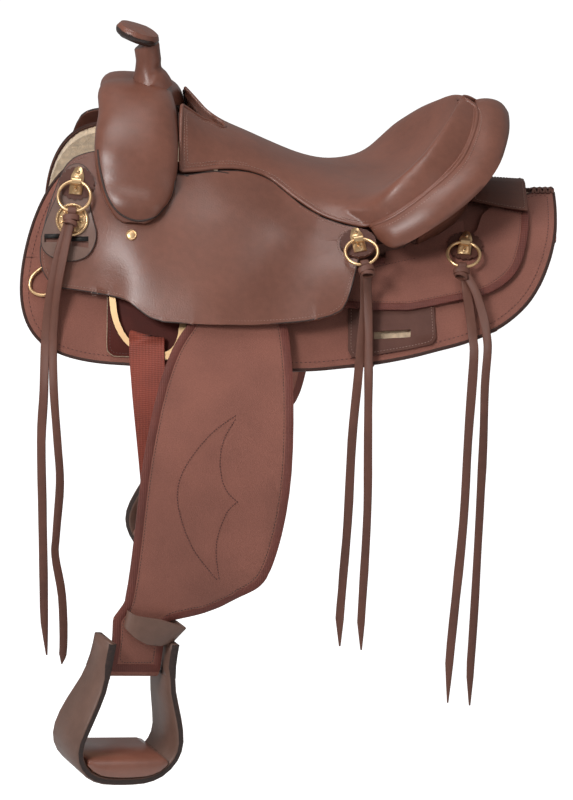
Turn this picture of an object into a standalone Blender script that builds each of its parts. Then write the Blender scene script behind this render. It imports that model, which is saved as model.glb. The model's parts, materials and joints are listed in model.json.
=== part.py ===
"""Western trail saddle, modelled piece by piece at real size.

Metres, +Z up. The front of the saddle is -X and its near (left) side is -Y.
The origin is the middle of the back that the saddle stands on, under the seat.
"""
import math

import bmesh
import bpy
from mathutils import Matrix, Vector

# Driving dimensions: the horse's back that every panel is bent to
CROWN_Z = -0.030            # crown of the back under the seat
WITHERS_RISE = 0.150        # how far the crown rises under the fork
LOIN_RISE = 0.022           # how far it rises behind the cantle
WITHERS_START = 0.060       # x where the rise towards the withers begins
WITHERS_RUN = 0.360         # length of that rise
LOIN_START = 0.100
LOIN_RUN = 0.270
TAIL_DROP = 0.014           # fall of the crown towards the skirts' rear end
TAIL_SLOPE = 0.04           # extra slope there
TAIL_DROP_START = 0.200
TAIL_DROP_RUN = 0.150
SLOPE = 0.12                # slope beside the crown, in radians
WITHERS_SLOPE = 0.50        # extra slope at the withers
RADIUS = 0.30               # roundness of the barrel
WITHERS_RADIUS = 0.25       # extra radius at the withers, which are flatter

# Driving dimensions: layers, counted outward from the back
GAP = 0.0010                # clearance between two curved layers
SEAT_GAP = 0.0003           # clearance between pieces that touch
FLEECE_T = 0.0092
SKIRT_T = 0.0045
PATCH_T = 0.0020
REAR_JOCKEY_T = 0.0030
JOCKEY_T = 0.0040
BRIDGE_T = 0.0030
KEEPER_T = 0.0025
BAR_T = 0.0240
FENDER_T = 0.0045
WEB_T = 0.0016
DEE_T = 0.0025
LEATHER_T = 0.0030

SKIRT_LIFT = 0.0100
SKIRT_TOP = SKIRT_LIFT + SKIRT_T
PATCH_LIFT = SKIRT_TOP + GAP
PATCH_TOP = PATCH_LIFT + PATCH_T
REAR_JOCKEY_LIFT = PATCH_TOP + GAP
REAR_JOCKEY_TOP = REAR_JOCKEY_LIFT + REAR_JOCKEY_T
BRIDGE_LIFT = REAR_JOCKEY_TOP + GAP
BAR_LIFT = SKIRT_TOP + GAP
BAR_TOP = BAR_LIFT + BAR_T
WEB_LIFT = PATCH_TOP + 0.0034
DEE_LIFT = WEB_LIFT + WEB_T + 0.0005
WEB_TOP_LIFT = DEE_LIFT + DEE_T + 0.0005

# Driving dimensions: the side jockey's height over the layers below
JOCKEY_FRONT_LIFT = 0.0245
JOCKEY_FENDER_LIFT = 0.0398
JOCKEY_REAR_LIFT = REAR_JOCKEY_TOP + 0.0015
JOCKEY_SEAM_LIFT = 0.0550
JOCKEY_SHOULDER_LIFT = 0.0430

# Driving dimensions: cells that a flat pattern is cut into before it is bent
CELL_X = 0.040
CELL_S = 0.036

# Driving dimensions: fender, its hang and the stirrup
FENDER_X = -0.060           # where the stirrup leather leaves the bar
FENDER_S = 0.270            # where the fender is parallel to the skirt
FENDER_LIFT = 0.0265        # its height over the back there
FENDER_YAW = math.radians(6.5)
FENDER_FLAT = 0.090         # flat run below that place
FENDER_BEND = 0.160         # length of the bend to the hanging part
FENDER_HANG = math.radians(83.0)
TAIL_TWIST = math.radians(31.0)
TAIL_ROLL = math.radians(9.0)
TAIL_TOP = 0.382            # distance down from FENDER_S to the hobble strap
BOLT_DROP = 0.457           # and to the stirrup bolt
BOLT_X = -0.185
TAIL_W = 0.074
BOLT_R = 0.0045
BOLT_L = 0.1000             # its ends sit in blind bores in the stirrup's legs
STIRRUP_T = 0.0105
FAR_SWING = math.radians(4.0)

# Driving dimensions: hardware
RING_R = 0.0215
RING_WIRE_R = 0.0023
EYE_HOLE_R = 0.0035
EYE_R = 0.0050
EYE_W = 0.012
CLIP_W = 0.017
CLIP_T = 0.0020
ROSETTE_R = 0.0235
ROSETTE_T = 0.0022
THONG_W = 0.0130
THONG_T = 0.0028

HORN_BASE = (-0.182, 0.140)
HORN_LEAN = math.radians(-20.0)
CAP_CENTRE = (-0.2005, 0.2075)
CAP_TILT = math.radians(21.0)
CAP_R = 0.0300
CAP_T = 0.0150


def clear_scene():
    for obj in list(bpy.data.objects):
        bpy.data.objects.remove(obj, do_unlink=True)


def make_collection(name):
    group = bpy.data.collections.new(name)
    bpy.context.scene.collection.children.link(group)
    return group


clear_scene()
PARTS = make_collection("trail_saddle")
CUTTERS = make_collection("cutters")


def make_material(name, colour, roughness, metallic=0.0):
    mat = bpy.data.materials.new(name)
    mat.use_nodes = True
    shader = mat.node_tree.nodes["Principled BSDF"]
    shader.inputs["Base Color"].default_value = (*colour, 1.0)
    shader.inputs["Roughness"].default_value = roughness
    shader.inputs["Metallic"].default_value = metallic
    mat.diffuse_color = (*colour, 1.0)
    return mat


LEATHER = make_material("smooth_leather", (0.16, 0.075, 0.055), 0.38)
CORDURA = make_material("woven_panel", (0.24, 0.105, 0.075), 0.85)
DARK = make_material("dark_leather", (0.07, 0.030, 0.024), 0.45)
RED = make_material("rigging_leather", (0.10, 0.022, 0.014), 0.50)
WEB = make_material("webbing", (0.20, 0.050, 0.030), 0.75)
FLEECE = make_material("fleece", (0.66, 0.53, 0.36), 0.95)
BRASS = make_material("brass", (0.80, 0.56, 0.28), 0.25, 1.0)
WOOD = make_material("tree_covering", (0.30, 0.24, 0.17), 0.70)
STEEL = make_material("bolt_steel", (0.55, 0.55, 0.56), 0.35, 1.0)


def smooth(t):
    t = min(max(t, 0.0), 1.0)
    return t * t * (3 - 2 * t)


def mix(a, b, t):
    return a + (b - a) * t


def spline(points, count, closed=False):
    """Catmull-Rom curve through points of any dimension, count steps per span."""
    number = len(points)
    spans = number if closed else number - 1
    curve = []
    for i in range(spans):
        if closed:
            quad = [points[(i + k) % number] for k in (-1, 0, 1, 2)]
        else:
            quad = [points[min(max(i + k, 0), number - 1)] for k in (-1, 0, 1, 2)]
        for step in range(count):
            t = step / count
            curve.append(tuple(
                0.5 * (2 * b + (c - a) * t + (2 * a - 5 * b + 4 * c - d) * t * t
                       + (3 * b - a - 3 * c + d) * t ** 3)
                for a, b, c, d in zip(*quad)))
    if not closed:
        curve.append(tuple(points[-1]))
    return curve


def along(table, x):
    """Value of a smooth curve (x, value) at x; x rises through the table."""
    if x <= table[0][0]:
        return table[0][1]
    for (x0, v0), (x1, v1) in zip(table, table[1:]):
        if x <= x1:
            return mix(v0, v1, (x - x0) / (x1 - x0))
    return table[-1][1]


def back_form(x):
    rise = smooth((WITHERS_START - x) / WITHERS_RUN)
    loin = smooth((x - LOIN_START) / LOIN_RUN)
    tail = smooth((x - TAIL_DROP_START) / TAIL_DROP_RUN)
    crown = CROWN_Z + WITHERS_RISE * rise + LOIN_RISE * loin - TAIL_DROP * tail
    slope = SLOPE + WITHERS_SLOPE * rise + TAIL_SLOPE * tail
    return crown, slope, RADIUS + WITHERS_RADIUS * rise


def ride(x, s, lift):
    """Place on the near side of the back: s down from the crown, lift outward."""
    crown, slope, radius = back_form(x)
    angle = slope + abs(s) / radius
    out = radius * (math.sin(angle) - math.sin(slope)) + lift * math.sin(angle)
    out -= lift * math.sin(slope) * max(0.0, 1 - abs(s) / 0.02)
    up = crown + radius * (math.cos(angle) - math.cos(slope)) + lift * math.cos(angle)
    return Vector((x, out if s < 0 else -out, up))


def frame_on(x, s, lift_of, turn=0.0):
    """Matrix at a place on a layer: X to the rear, Y up the slope, Z outward."""
    step = 0.004
    rear = ride(x + step, s, lift_of(x + step, s)) - ride(x - step, s, lift_of(x - step, s))
    up = ride(x, s - step, lift_of(x, s - step)) - ride(x, s + step, lift_of(x, s + step))
    normal = rear.cross(up).normalized()
    y_axis = (up - normal * up.dot(normal)).normalized()
    x_axis = y_axis.cross(normal)
    basis = Matrix((x_axis, y_axis, normal)).transposed().to_4x4()
    place = Matrix.Translation(ride(x, s, lift_of(x, s)))
    return place @ basis @ Matrix.Rotation(turn, 4, "Z")


SEAM = [(-0.300, 0.120), (-0.250, 0.106), (-0.200, 0.104), (-0.142, 0.100), (-0.125, 0.093),
        (-0.104, 0.081), (-0.083, 0.070), (-0.062, 0.062), (-0.040, 0.057), (-0.019, 0.060),
        (0.003, 0.075), (0.022, 0.090), (0.051, 0.107), (0.080, 0.118), (0.109, 0.124),
        (0.160, 0.130)]


def seam_s(x):
    return along(SEAM, x)


def jockey_lift(x, s):
    """Inner height of the side jockey over the horse's back."""
    over_fender = smooth((x + 0.240) / 0.056) * (1 - smooth((x - 0.045) / 0.045))
    low = mix(JOCKEY_FRONT_LIFT, JOCKEY_REAR_LIFT, smooth((x + 0.1) / 0.1))
    low = mix(low, JOCKEY_FENDER_LIFT, over_fender)
    top = mix(JOCKEY_SHOULDER_LIFT, JOCKEY_SEAM_LIFT, smooth((x + 0.150) / 0.110))
    start = mix(0.058, 0.0556, smooth((x + 0.200) / 0.100))
    fall = smooth((s - seam_s(x) - start) / 0.150)
    return mix(top, low, fall)


def jockey_top(x, s):
    return jockey_lift(x, s) + JOCKEY_T


def finish(name, mesh, mat, group=PARTS, sharp=35.0):
    obj = bpy.data.objects.new(name, mesh)
    group.objects.link(obj)
    if mat is not None:
        mesh.materials.append(mat)
    mesh.shade_smooth()
    mesh.set_sharp_from_angle(angle=math.radians(sharp))
    if group is CUTTERS:
        obj.hide_render = True
        obj.display_type = "WIRE"
    return obj


def mesh_from(bm, name):
    bmesh.ops.remove_doubles(bm, verts=bm.verts[:], dist=0.00002)
    bmesh.ops.recalc_face_normals(bm, faces=bm.faces[:])
    mesh = bpy.data.meshes.new(name)
    bm.to_mesh(mesh)
    bm.free()
    return mesh


def loft(name, rows, mat, loop=True, ring=False, group=PARTS, sharp=35.0):
    """Solid through rows of points. loop closes each row, ring joins last row to first."""
    bm = bmesh.new()
    grid = [[bm.verts.new(point) for point in row] for row in rows]
    pairs = list(zip(grid, grid[1:]))
    if ring:
        pairs.append((grid[-1], grid[0]))
    for low, high in pairs:
        count = len(low)
        for i in range(count if loop else count - 1):
            j = (i + 1) % count
            bm.faces.new((low[i], low[j], high[j], high[i]))
    if loop and not ring:
        bm.faces.new(grid[0])
        bm.faces.new(grid[-1])
    bmesh.ops.triangulate(bm, faces=[f for f in bm.faces if len(f.verts) > 4])
    return finish(name, mesh_from(bm, name), mat, group, sharp)


def add_solidify(obj, thickness, offset):
    shell = obj.modifiers.new("thickness", "SOLIDIFY")
    shell.thickness = thickness
    shell.offset = offset
    shell.use_even_offset = True
    return shell


def add_boolean(obj, other, operation):
    cut = obj.modifiers.new(operation.lower(), "BOOLEAN")
    cut.operation = operation
    cut.solver = "EXACT"
    cut.object = other
    return cut


def apply_modifiers(obj):
    graph = bpy.context.evaluated_depsgraph_get()
    baked = bpy.data.meshes.new_from_object(obj.evaluated_get(graph))
    obj.modifiers.clear()
    obj.data = baked
    return obj


def bent_panel(name, outline, place, thickness, mat, holes=(), cell=(CELL_X, CELL_S)):
    """Flat pattern cut into cells, bent by place(x, s, lift) and given a thickness."""
    flat = bmesh.new()
    flat.faces.new([flat.verts.new((x, s, 0)) for x, s in outline])
    lines = []
    for axis in (0, 1):
        values = [point[axis] for point in outline]
        first = math.ceil(min(values) / cell[axis] + 0.05)
        last = math.floor(max(values) / cell[axis] - 0.05)
        lines += [(axis, cell[axis] * k) for k in range(first, last + 1)]
    for x0, x1, s0, s1 in holes:
        lines += [(0, x0), (0, x1), (1, s0), (1, s1)]
    for axis, value in lines:
        at = [value if k == axis else 0 for k in range(3)]
        normal = [1 if k == axis else 0 for k in range(3)]
        bmesh.ops.bisect_plane(flat, geom=flat.verts[:] + flat.edges[:] + flat.faces[:],
                               dist=0.0002, plane_co=at, plane_no=normal)
    inside = []
    for face in flat.faces:
        middle = face.calc_center_median()
        if any(x0 < middle.x < x1 and s0 < middle.y < s1 for x0, x1, s0, s1 in holes):
            inside.append(face)
    bmesh.ops.delete(flat, geom=inside, context="FACES")
    bmesh.ops.triangulate(flat, faces=flat.faces[:])
    flat.verts.index_update()
    solid = bmesh.new()
    inner = [solid.verts.new(place(v.co.x, v.co.y, 0.0)) for v in flat.verts]
    outer = [solid.verts.new(place(v.co.x, v.co.y, thickness)) for v in flat.verts]
    for face in flat.faces:
        ids = [v.index for v in face.verts]
        solid.faces.new([inner[i] for i in ids])
        solid.faces.new([outer[i] for i in reversed(ids)])
    for edge in flat.edges:
        if edge.is_boundary:
            a, b = (v.index for v in edge.verts)
            solid.faces.new((inner[a], inner[b], outer[b], outer[a]))
    flat.free()
    return finish(name, mesh_from(solid, name), mat)


def on_back(lift):
    """Bending rule for a panel that lies at one height over the back."""
    return lambda x, s, up: ride(x, s, lift + up)


def far_twin(obj, name):
    """Mirrored copy of a near side piece for the far side."""
    mesh = obj.data.copy()
    mesh.name = name
    mesh.transform(Matrix.Scale(-1, 4, (0, 1, 0)))
    mesh.flip_normals()
    twin = bpy.data.objects.new(name, mesh)
    flip = Matrix.Scale(-1, 4, (0, 1, 0))
    twin.matrix_world = flip @ obj.matrix_world @ flip
    PARTS.objects.link(twin)
    return twin


def set_origin(obj, place):
    """Move an object's origin and axes to place, a matrix, without moving its shape."""
    obj.data.transform(place.inverted() @ obj.matrix_world)
    obj.matrix_world = place


def tube_mesh(name, outer_r, inner_r, length, axis, mat, group=PARTS, sides=20):
    """Straight tube, or a rod where inner_r is 0, centred on its own origin."""
    half = length / 2
    rows = []
    if inner_r:
        profile = [(outer_r, half), (outer_r, -half), (inner_r, -half), (inner_r, half)]
    else:
        profile = [(outer_r, half), (outer_r, -half)]
    for k in range(sides):
        angle = 2 * math.pi * k / sides
        row = []
        for r, along_axis in profile:
            point = Vector((r * math.cos(angle), r * math.sin(angle), along_axis))
            row.append(point)
        rows.append(row)
    turn = {"X": Matrix.Rotation(math.pi / 2, 4, "Y"), "Y": Matrix.Rotation(math.pi / 2, 4, "X"),
            "Z": Matrix.Identity(4)}[axis]
    if inner_r:
        obj = loft(name, rows, mat, loop=True, ring=True, group=group)
    else:
        ends = [[row[k] for row in rows] for k in (0, 1)]
        obj = loft(name, ends, mat, loop=True, group=group)
    obj.data.transform(turn)
    return obj


# Skirts, fleece, patches and jockeys, as flat patterns of x and s
SKIRT_LOWER = [(-0.250, 0.090), (-0.285, 0.112), (-0.315, 0.150), (-0.338, 0.208),
               (-0.350, 0.280), (-0.340, 0.335), (-0.305, 0.368), (-0.240, 0.376),
               (-0.110, 0.343), (0.010, 0.302), (0.120, 0.288), (0.236, 0.269),
               (0.304, 0.229), (0.343, 0.175), (0.364, 0.097), (0.366, 0.006)]
SKIRT_UPPER = [(0.333, 0.006), (0.300, 0.024), (0.200, 0.030), (0.000, 0.036),
               (-0.100, 0.048), (-0.200, 0.073)]
FLEECE_INSET = 0.004
BILLET_SLOT = (0.119, 0.167, 0.246, 0.256)
SLOT_MARGIN = 0.0015
FRONT_PLATE = [(-0.233, 0.245), (-0.233, 0.355), (-0.226, 0.363), (-0.105, 0.334),
               (-0.100, 0.327), (-0.100, 0.245)]
REAR_PATCH = [(0.085, 0.195), (0.085, 0.270), (0.090, 0.280), (0.195, 0.268),
              (0.201, 0.261), (0.197, 0.195)]
REAR_JOCKEY = [(0.072, 0.213), (0.165, 0.221), (0.235, 0.211), (0.272, 0.199), (0.300, 0.176),
               (0.316, 0.146), (0.325, 0.098), (0.3265, 0.060)]
REAR_JOCKEY_TOP_EDGE = [(0.285, 0.050), (0.264, 0.075), (0.256, 0.105), (0.235, 0.125),
                        (0.180, 0.137), (0.120, 0.147), (0.072, 0.166)]
BRIDGE = [(0.252, 0.066), (0.290, 0.080), (0.326, 0.088)]
JOCKEY_EDGE = [(-0.250, 0.1085), (-0.272, 0.118), (-0.290, 0.134), (-0.306, 0.175),
               (-0.318, 0.220), (-0.321, 0.252), (-0.312, 0.276), (-0.289, 0.288),
               (-0.227, 0.288), (-0.203, 0.290), (-0.183, 0.299), (-0.155, 0.301),
               (-0.083, 0.279), (-0.004, 0.253), (0.045, 0.241), (0.076, 0.230),
               (0.088, 0.208), (0.095, 0.183), (0.100, 0.160), (0.101, 0.142)]
SEAM_CLEARANCE = 0.0034


def inset(outline, amount):
    """Outline moved inward; it runs so that its inside is on the same side all round."""
    area = sum(a[0] * b[1] - b[0] * a[1] for a, b in zip(outline, outline[1:] + outline[:1]))
    sign = 1 if area > 0 else -1
    moved = []
    number = len(outline)
    for i, (x, s) in enumerate(outline):
        before = outline[i - 1]
        after = outline[(i + 1) % number]
        run = Vector((after[0] - before[0], after[1] - before[1])).normalized()
        moved.append((x - sign * run.y * amount, s + sign * run.x * amount))
    return moved


def panel_outline(lower, upper, count=3):
    """Closed outline: a smooth lower edge and a smooth upper edge that meet at corners."""
    return spline(lower, count) + spline(upper, count)


def build_skirts():
    outline = panel_outline(SKIRT_LOWER, SKIRT_UPPER, 2)
    x0, x1, s0, s1 = BILLET_SLOT
    wide = (x0 - SLOT_MARGIN, x1 + SLOT_MARGIN, s0 - SLOT_MARGIN, s1 + SLOT_MARGIN)
    skirt = bent_panel("skirt_L", outline, on_back(SKIRT_LIFT), SKIRT_T, CORDURA, holes=[wide])
    far_twin(skirt, "skirt_R")
    lining = bent_panel("skirt_fleece_L", inset(outline, FLEECE_INSET), on_back(0.0), FLEECE_T,
                        FLEECE)
    far_twin(lining, "skirt_fleece_R")
    plate = bent_panel("front_rigging_plate_L", FRONT_PLATE, on_back(PATCH_LIFT), PATCH_T, RED)
    far_twin(plate, "front_rigging_plate_R")
    patch = bent_panel("rear_rigging_patch_L", REAR_PATCH, on_back(PATCH_LIFT), PATCH_T, DARK,
                       holes=[BILLET_SLOT])
    far_twin(patch, "rear_rigging_patch_R")


def build_jockeys():
    rear = bent_panel("rear_jockey_L", panel_outline(REAR_JOCKEY, REAR_JOCKEY_TOP_EDGE, 2),
                      on_back(REAR_JOCKEY_LIFT), REAR_JOCKEY_T, CORDURA)
    far_twin(rear, "rear_jockey_R")
    half = spline(BRIDGE, 3)
    outline = half + [(x, -s) for x, s in reversed(half)]
    bent_panel("rear_bridge", outline, on_back(BRIDGE_LIFT), BRIDGE_T, LEATHER)
    upper = [(x, seam_s(x) + SEAM_CLEARANCE)
             for x in (0.097, 0.080, 0.051, 0.022, 0.003, -0.019, -0.040, -0.062, -0.083,
                       -0.104, -0.125, -0.142, -0.200)]
    outline = spline(JOCKEY_EDGE, 2) + upper
    jockey = bent_panel("side_jockey_L", outline,
                        lambda x, s, up: ride(x, s, jockey_lift(x, s) + up), JOCKEY_T, LEATHER)
    return jockey


# Seat: rails down the middle, along the crest and along the seam, front to back
SEAT_MIDDLE = [(-0.139, 0.124), (-0.112, 0.098), (-0.085, 0.080), (-0.055, 0.068),
               (-0.020, 0.050), (0.015, 0.034), (0.050, 0.022), (0.090, 0.013),
               (0.130, 0.013), (0.165, 0.024), (0.190, 0.042), (0.209, 0.063),
               (0.223, 0.085), (0.232, 0.104), (0.2365, 0.115), (0.2385, 0.1205)]
SEAT_CREST = [(-0.139, 0.066, 0.114), (-0.113, 0.062, 0.088), (-0.086, 0.056, 0.072),
              (-0.056, 0.050, 0.060), (-0.021, 0.052, 0.044), (0.014, 0.064, 0.027),
              (0.049, 0.078, 0.015), (0.086, 0.098, 0.012), (0.118, 0.120, 0.020),
              (0.145, 0.127, 0.040), (0.170, 0.120, 0.061), (0.191, 0.104, 0.080),
              (0.208, 0.080, 0.096), (0.222, 0.052, 0.110), (0.232, 0.027, 0.118),
              (0.2405, 0.006, 0.1215)]
SEAM_X = [-0.139, -0.114, -0.088, -0.056, -0.022, 0.012, 0.047, 0.080, 0.109]
CANTLE_SEAM = [(0.137, 0.162, -0.001), (0.166, 0.163, 0.018), (0.192, 0.154, 0.036),
               (0.218, 0.130, 0.055), (0.238, 0.098, 0.073), (0.251, 0.060, 0.095),
               (0.2550, 0.014, 0.1145)]
CREST_AT = 0.6
SEAT_EDGE_T = 0.0045
SEAT_MIDDLE_T = 0.0120
SEAM_LIFT = JOCKEY_SEAM_LIFT + SEAT_EDGE_T + 0.0018
SLOT_FRONT_X = -0.150
SLOT_REAR_X = -0.083
SLOT_HALF_W = 0.046


def seam_point(x):
    place = ride(x, seam_s(x), min(SEAM_LIFT, jockey_top(x, seam_s(x)) + 0.0023))
    return (x, -place.y, place.z)


def seat_rails():
    edge = [seam_point(x) for x in SEAM_X] + CANTLE_SEAM
    middle = [(x, 0.0, z) for x, z in SEAT_MIDDLE]
    return middle, SEAT_CREST, edge


def seat_point(rails, i, v):
    """Point of the seat's top on station i, at v from the middle to the seam."""
    c, k, e = (rail[i] for rail in rails)
    q = CREST_AT

    def even(a, b, d):
        beta = ((b - a) - (d - a) * q * q) / (q ** 4 - q * q)
        return a + ((d - a) - beta) * v * v + beta * v ** 4

    def odd(b, d):
        beta = (b - d * q) / (q ** 3 - q)
        return (d - beta) * v + beta * v ** 3

    return Vector((even(c[0], k[0], e[0]), -odd(k[1], e[1]), even(c[2], k[2], e[2])))


def seat_grid(inset_of, v_last=1.0, first=0, last=None, cross=8):
    """Rows across the seat from the near seam to the far seam, lowered by inset_of(v)."""
    rails = seat_rails()
    count = len(rails[0])
    stations = range(first, count if last is None else last)
    tops = [[seat_point(rails, i, v_last * k / cross) for k in range(-cross, cross + 1)]
            for i in range(count)]
    rows = []
    for i in stations:
        before = tops[max(i - 1, 0)]
        after = tops[min(i + 1, count - 1)]
        row = []
        for k in range(2 * cross + 1):
            left = tops[i][max(k - 1, 0)]
            right = tops[i][min(k + 1, 2 * cross)]
            normal = (left - right).cross(after[k] - before[k]).normalized()
            if normal.z < 0:
                normal = -normal
            if i == 0:
                normal = Vector((0, normal.y, normal.z)).normalized()
            v = abs(k - cross) / cross * v_last
            row.append(tops[i][k] - normal * inset_of(v))
        rows.append(row)
    return rows


def shell_between(name, top, bottom, mat, group=PARTS):
    """Solid between two grids of the same size."""
    bm = bmesh.new()
    upper = [[bm.verts.new(p) for p in row] for row in top]
    lower = [[bm.verts.new(p) for p in row] for row in bottom]
    for grid in (upper, lower):
        for a, b in zip(grid, grid[1:]):
            for i in range(len(a) - 1):
                bm.faces.new((a[i], a[i + 1], b[i + 1], b[i]))
    rim_up = upper[0] + [row[-1] for row in upper[1:]] + upper[-1][-2::-1]
    rim_up += [row[0] for row in upper[-2:0:-1]]
    rim_low = lower[0] + [row[-1] for row in lower[1:]] + lower[-1][-2::-1]
    rim_low += [row[0] for row in lower[-2:0:-1]]
    number = len(rim_up)
    for i in range(number):
        j = (i + 1) % number
        bm.faces.new((rim_up[i], rim_up[j], rim_low[j], rim_low[i]))
    return finish(name, mesh_from(bm, name), mat, group)


def seat_thickness(v):
    return mix(SEAT_MIDDLE_T, SEAT_EDGE_T, smooth((v - 0.55) / 0.45))


def slot_cutter(name, grow):
    """Rounded prism that cuts the hand hole behind the swell."""
    half = SLOT_HALF_W + grow
    rear = SLOT_REAR_X + grow
    outline = [(SLOT_FRONT_X - 0.03, -half)]
    steps = 10
    radius = 0.020
    outline += [(SLOT_FRONT_X + 0.012, -half)]
    for k in range(steps + 1):
        angle = -math.pi / 2 + math.pi * k / steps
        outline.append((rear - radius + radius * math.cos(angle), radius * 0.95 * math.sin(angle)))
    outline += [(SLOT_FRONT_X + 0.012, half), (SLOT_FRONT_X - 0.03, half)]
    rows = [[(x, y, z) for x, y in outline] for z in (0.02, 0.20)]
    return loft(name, rows, None, group=CUTTERS)


def build_seat():
    top = seat_grid(lambda v: 0.0)
    bottom = seat_grid(seat_thickness)
    seat = shell_between("seat", top, bottom, LEATHER)
    add_boolean(seat, slot_cutter("seat_slot_cutter", 0.0), "DIFFERENCE")
    return seat


# Cheyenne roll: seam side and outer edge, from its near end to the middle
ROLL_OUTER = [(0.118, 0.161, -0.0165), (0.138, 0.182, -0.0300), (0.158, 0.190, -0.028),
              (0.200, 0.189, -0.001), (0.238, 0.173, 0.024), (0.268, 0.146, 0.047),
              (0.287, 0.110, 0.066), (0.299, 0.062, 0.087), (0.3025, 0.028, 0.099),
              (0.3015, 0.000, 0.106)]
ROLL_START = [(0.1135, 0.154, -0.0135), (0.1250, 0.1595, -0.0080)]
ROLL_T = 0.0110
ROLL_CROWN = 0.0070
ROLL_CLEARANCE = 0.0010


def roll_section(inner, outer):
    """Section of the roll from its seam to its rounded outer edge and back under."""
    a, b = Vector(inner), Vector(outer)
    across = b - a
    width = across.length
    side = across.normalized()
    up = Vector((side.z * -side.x, side.z * -side.y, side.x ** 2 + side.y ** 2)).normalized()
    thick = min(ROLL_T, width * 0.45 + 0.002)
    crown = min(ROLL_CROWN, width * 0.18)
    top = []
    for k in range(7):
        t = k / 6
        lift = crown * 4 * t * (1 - t) - thick * 0.5 * t ** 6
        top.append(a + across * t + up * lift)
    bottom = []
    for k in range(6, -1, -1):
        t = k / 6
        drop = mix(SEAT_EDGE_T, thick, smooth(t * 2.5)) - crown * 3 * t * (1 - t)
        edge = thick * 0.5 * t ** 6
        bottom.append(a + across * (t * 0.97) - up * (drop - edge * 0.4))
    return top + bottom


def roll_seam():
    """Seam side of the roll: just outside the seat's edge."""
    line = CANTLE_SEAM + [(CANTLE_SEAM[-1][0], -CANTLE_SEAM[-1][1], CANTLE_SEAM[-1][2])]
    moved = []
    for i in range(len(CANTLE_SEAM)):
        before, here, after = line[max(i - 1, 0)], line[i], line[i + 1]
        run = Vector((after[0] - before[0], after[1] - before[1])).normalized()
        moved.append((here[0] - run.y * ROLL_CLEARANCE, here[1] + run.x * ROLL_CLEARANCE, here[2]))
    middle = (moved[-1][0] + 0.0004, 0.0, moved[-1][2] + 0.0006)
    return ROLL_START + moved + [middle]


def build_roll():
    near = [roll_section((x, -y, z), (u, -w, q))
            for (x, y, z), (u, w, q) in zip(spline(roll_seam(), 2), spline(ROLL_OUTER, 2))]
    far = [[Vector((p.x, -p.y, p.z)) for p in row] for row in near[-2::-1]]
    return loft("cantle_roll", near + far, LEATHER, sharp=50)


# Cantle back: leather from under the roll down to the bridge
CANTLE_BACK_TOP = [(0.186, 0.166, 0.004), (0.214, 0.150, 0.024), (0.240, 0.124, 0.043),
                   (0.258, 0.088, 0.064), (0.268, 0.046, 0.085), (0.270, 0.000, 0.094)]
CANTLE_BACK_FOOT = [(0.178, 0.130), (0.204, 0.118), (0.226, 0.100), (0.242, 0.074),
                    (0.252, 0.040), (0.256, 0.000)]
CANTLE_WALL_IN = 0.0040


def cantle_curve(grow):
    """Top and foot of the wall under the cantle, moved forward by grow."""
    tops = [Vector((x - grow, -y + grow * 0.7, z)) for x, y, z in CANTLE_BACK_TOP]
    feet = [ride(x - grow, max(s - grow * 0.7, 0.0), BRIDGE_LIFT + BRIDGE_T + GAP)
            for x, s in CANTLE_BACK_FOOT]
    return tops, feet


def wall_grid(grow, rise=0.0, sink=0.0, steps=4):
    tops, feet = cantle_curve(grow)
    rows = []
    for a, b in zip(tops, feet):
        high = a + (a - b).normalized() * rise
        low = b - (a - b).normalized() * sink
        rows.append([high.lerp(low, k / steps) for k in range(steps + 1)])
    middle = rows[-1]
    for point in middle:
        point.y = 0.0
    return rows + [[Vector((p.x, -p.y, p.z)) for p in row] for row in rows[-2::-1]]


def build_cantle_back():
    return shell_between("cantle_back", wall_grid(0.0), wall_grid(LEATHER_T), LEATHER)


# Swell: places along the arch from the middle to the near tip, as
# (y, z, half width along X, depth, share of the back's slope along X)
SWELL_X = -0.197
SWELL = [(0.000, 0.113, 0.0430, 0.031, 0.0), (0.034, 0.111, 0.0480, 0.031, 0.0),
         (0.070, 0.101, 0.0530, 0.031, 0.15), (0.1069, 0.0857, 0.0550, 0.0235, 0.60),
         (0.1335, 0.0602, 0.0540, 0.0200, 1.0), (0.1530, 0.0354, 0.0480, 0.0135, 1.0)]
SWELL_TIPS = [(0.171, 0.0072, 0.037, 0.0120), (0.186, 0.0047, 0.024, 0.0070),
              (0.1915, 0.0040, 0.013, 0.0045)]
SWELL_SIDES = 14
SWELL_POWER = 2.6
SWELL_OPEN = math.radians(104)
FORK = [(0.000, 0.108, 0.0380, 0.024, 0.0), (0.040, 0.104, 0.0430, 0.024, 0.0),
        (0.072, 0.092, 0.0460, 0.022, 0.3), (0.092, 0.070, 0.0440, 0.019, 0.7),
        (0.100, 0.056, 0.0420, 0.015, 1.0), (0.104, 0.046, 0.0400, 0.012, 1.0)]


def swell_stations():
    rows = list(SWELL)
    for s, rise, half, depth in SWELL_TIPS:
        place = ride(SWELL_X, s, jockey_top(SWELL_X, s) + rise)
        rows.append((-place.y, place.z, half, depth, 1.0))
    return spline(rows, 2)


def jockey_height(x, y):
    """Height of the side jockey's top at x and at y from the middle."""
    low, high = 0.0, 0.300
    for _ in range(16):
        s = (low + high) / 2
        if -ride(x, s, jockey_top(x, s)).y < y:
            low = s
        else:
            high = s
    return ride(x, low, jockey_top(x, low)).z


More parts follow.
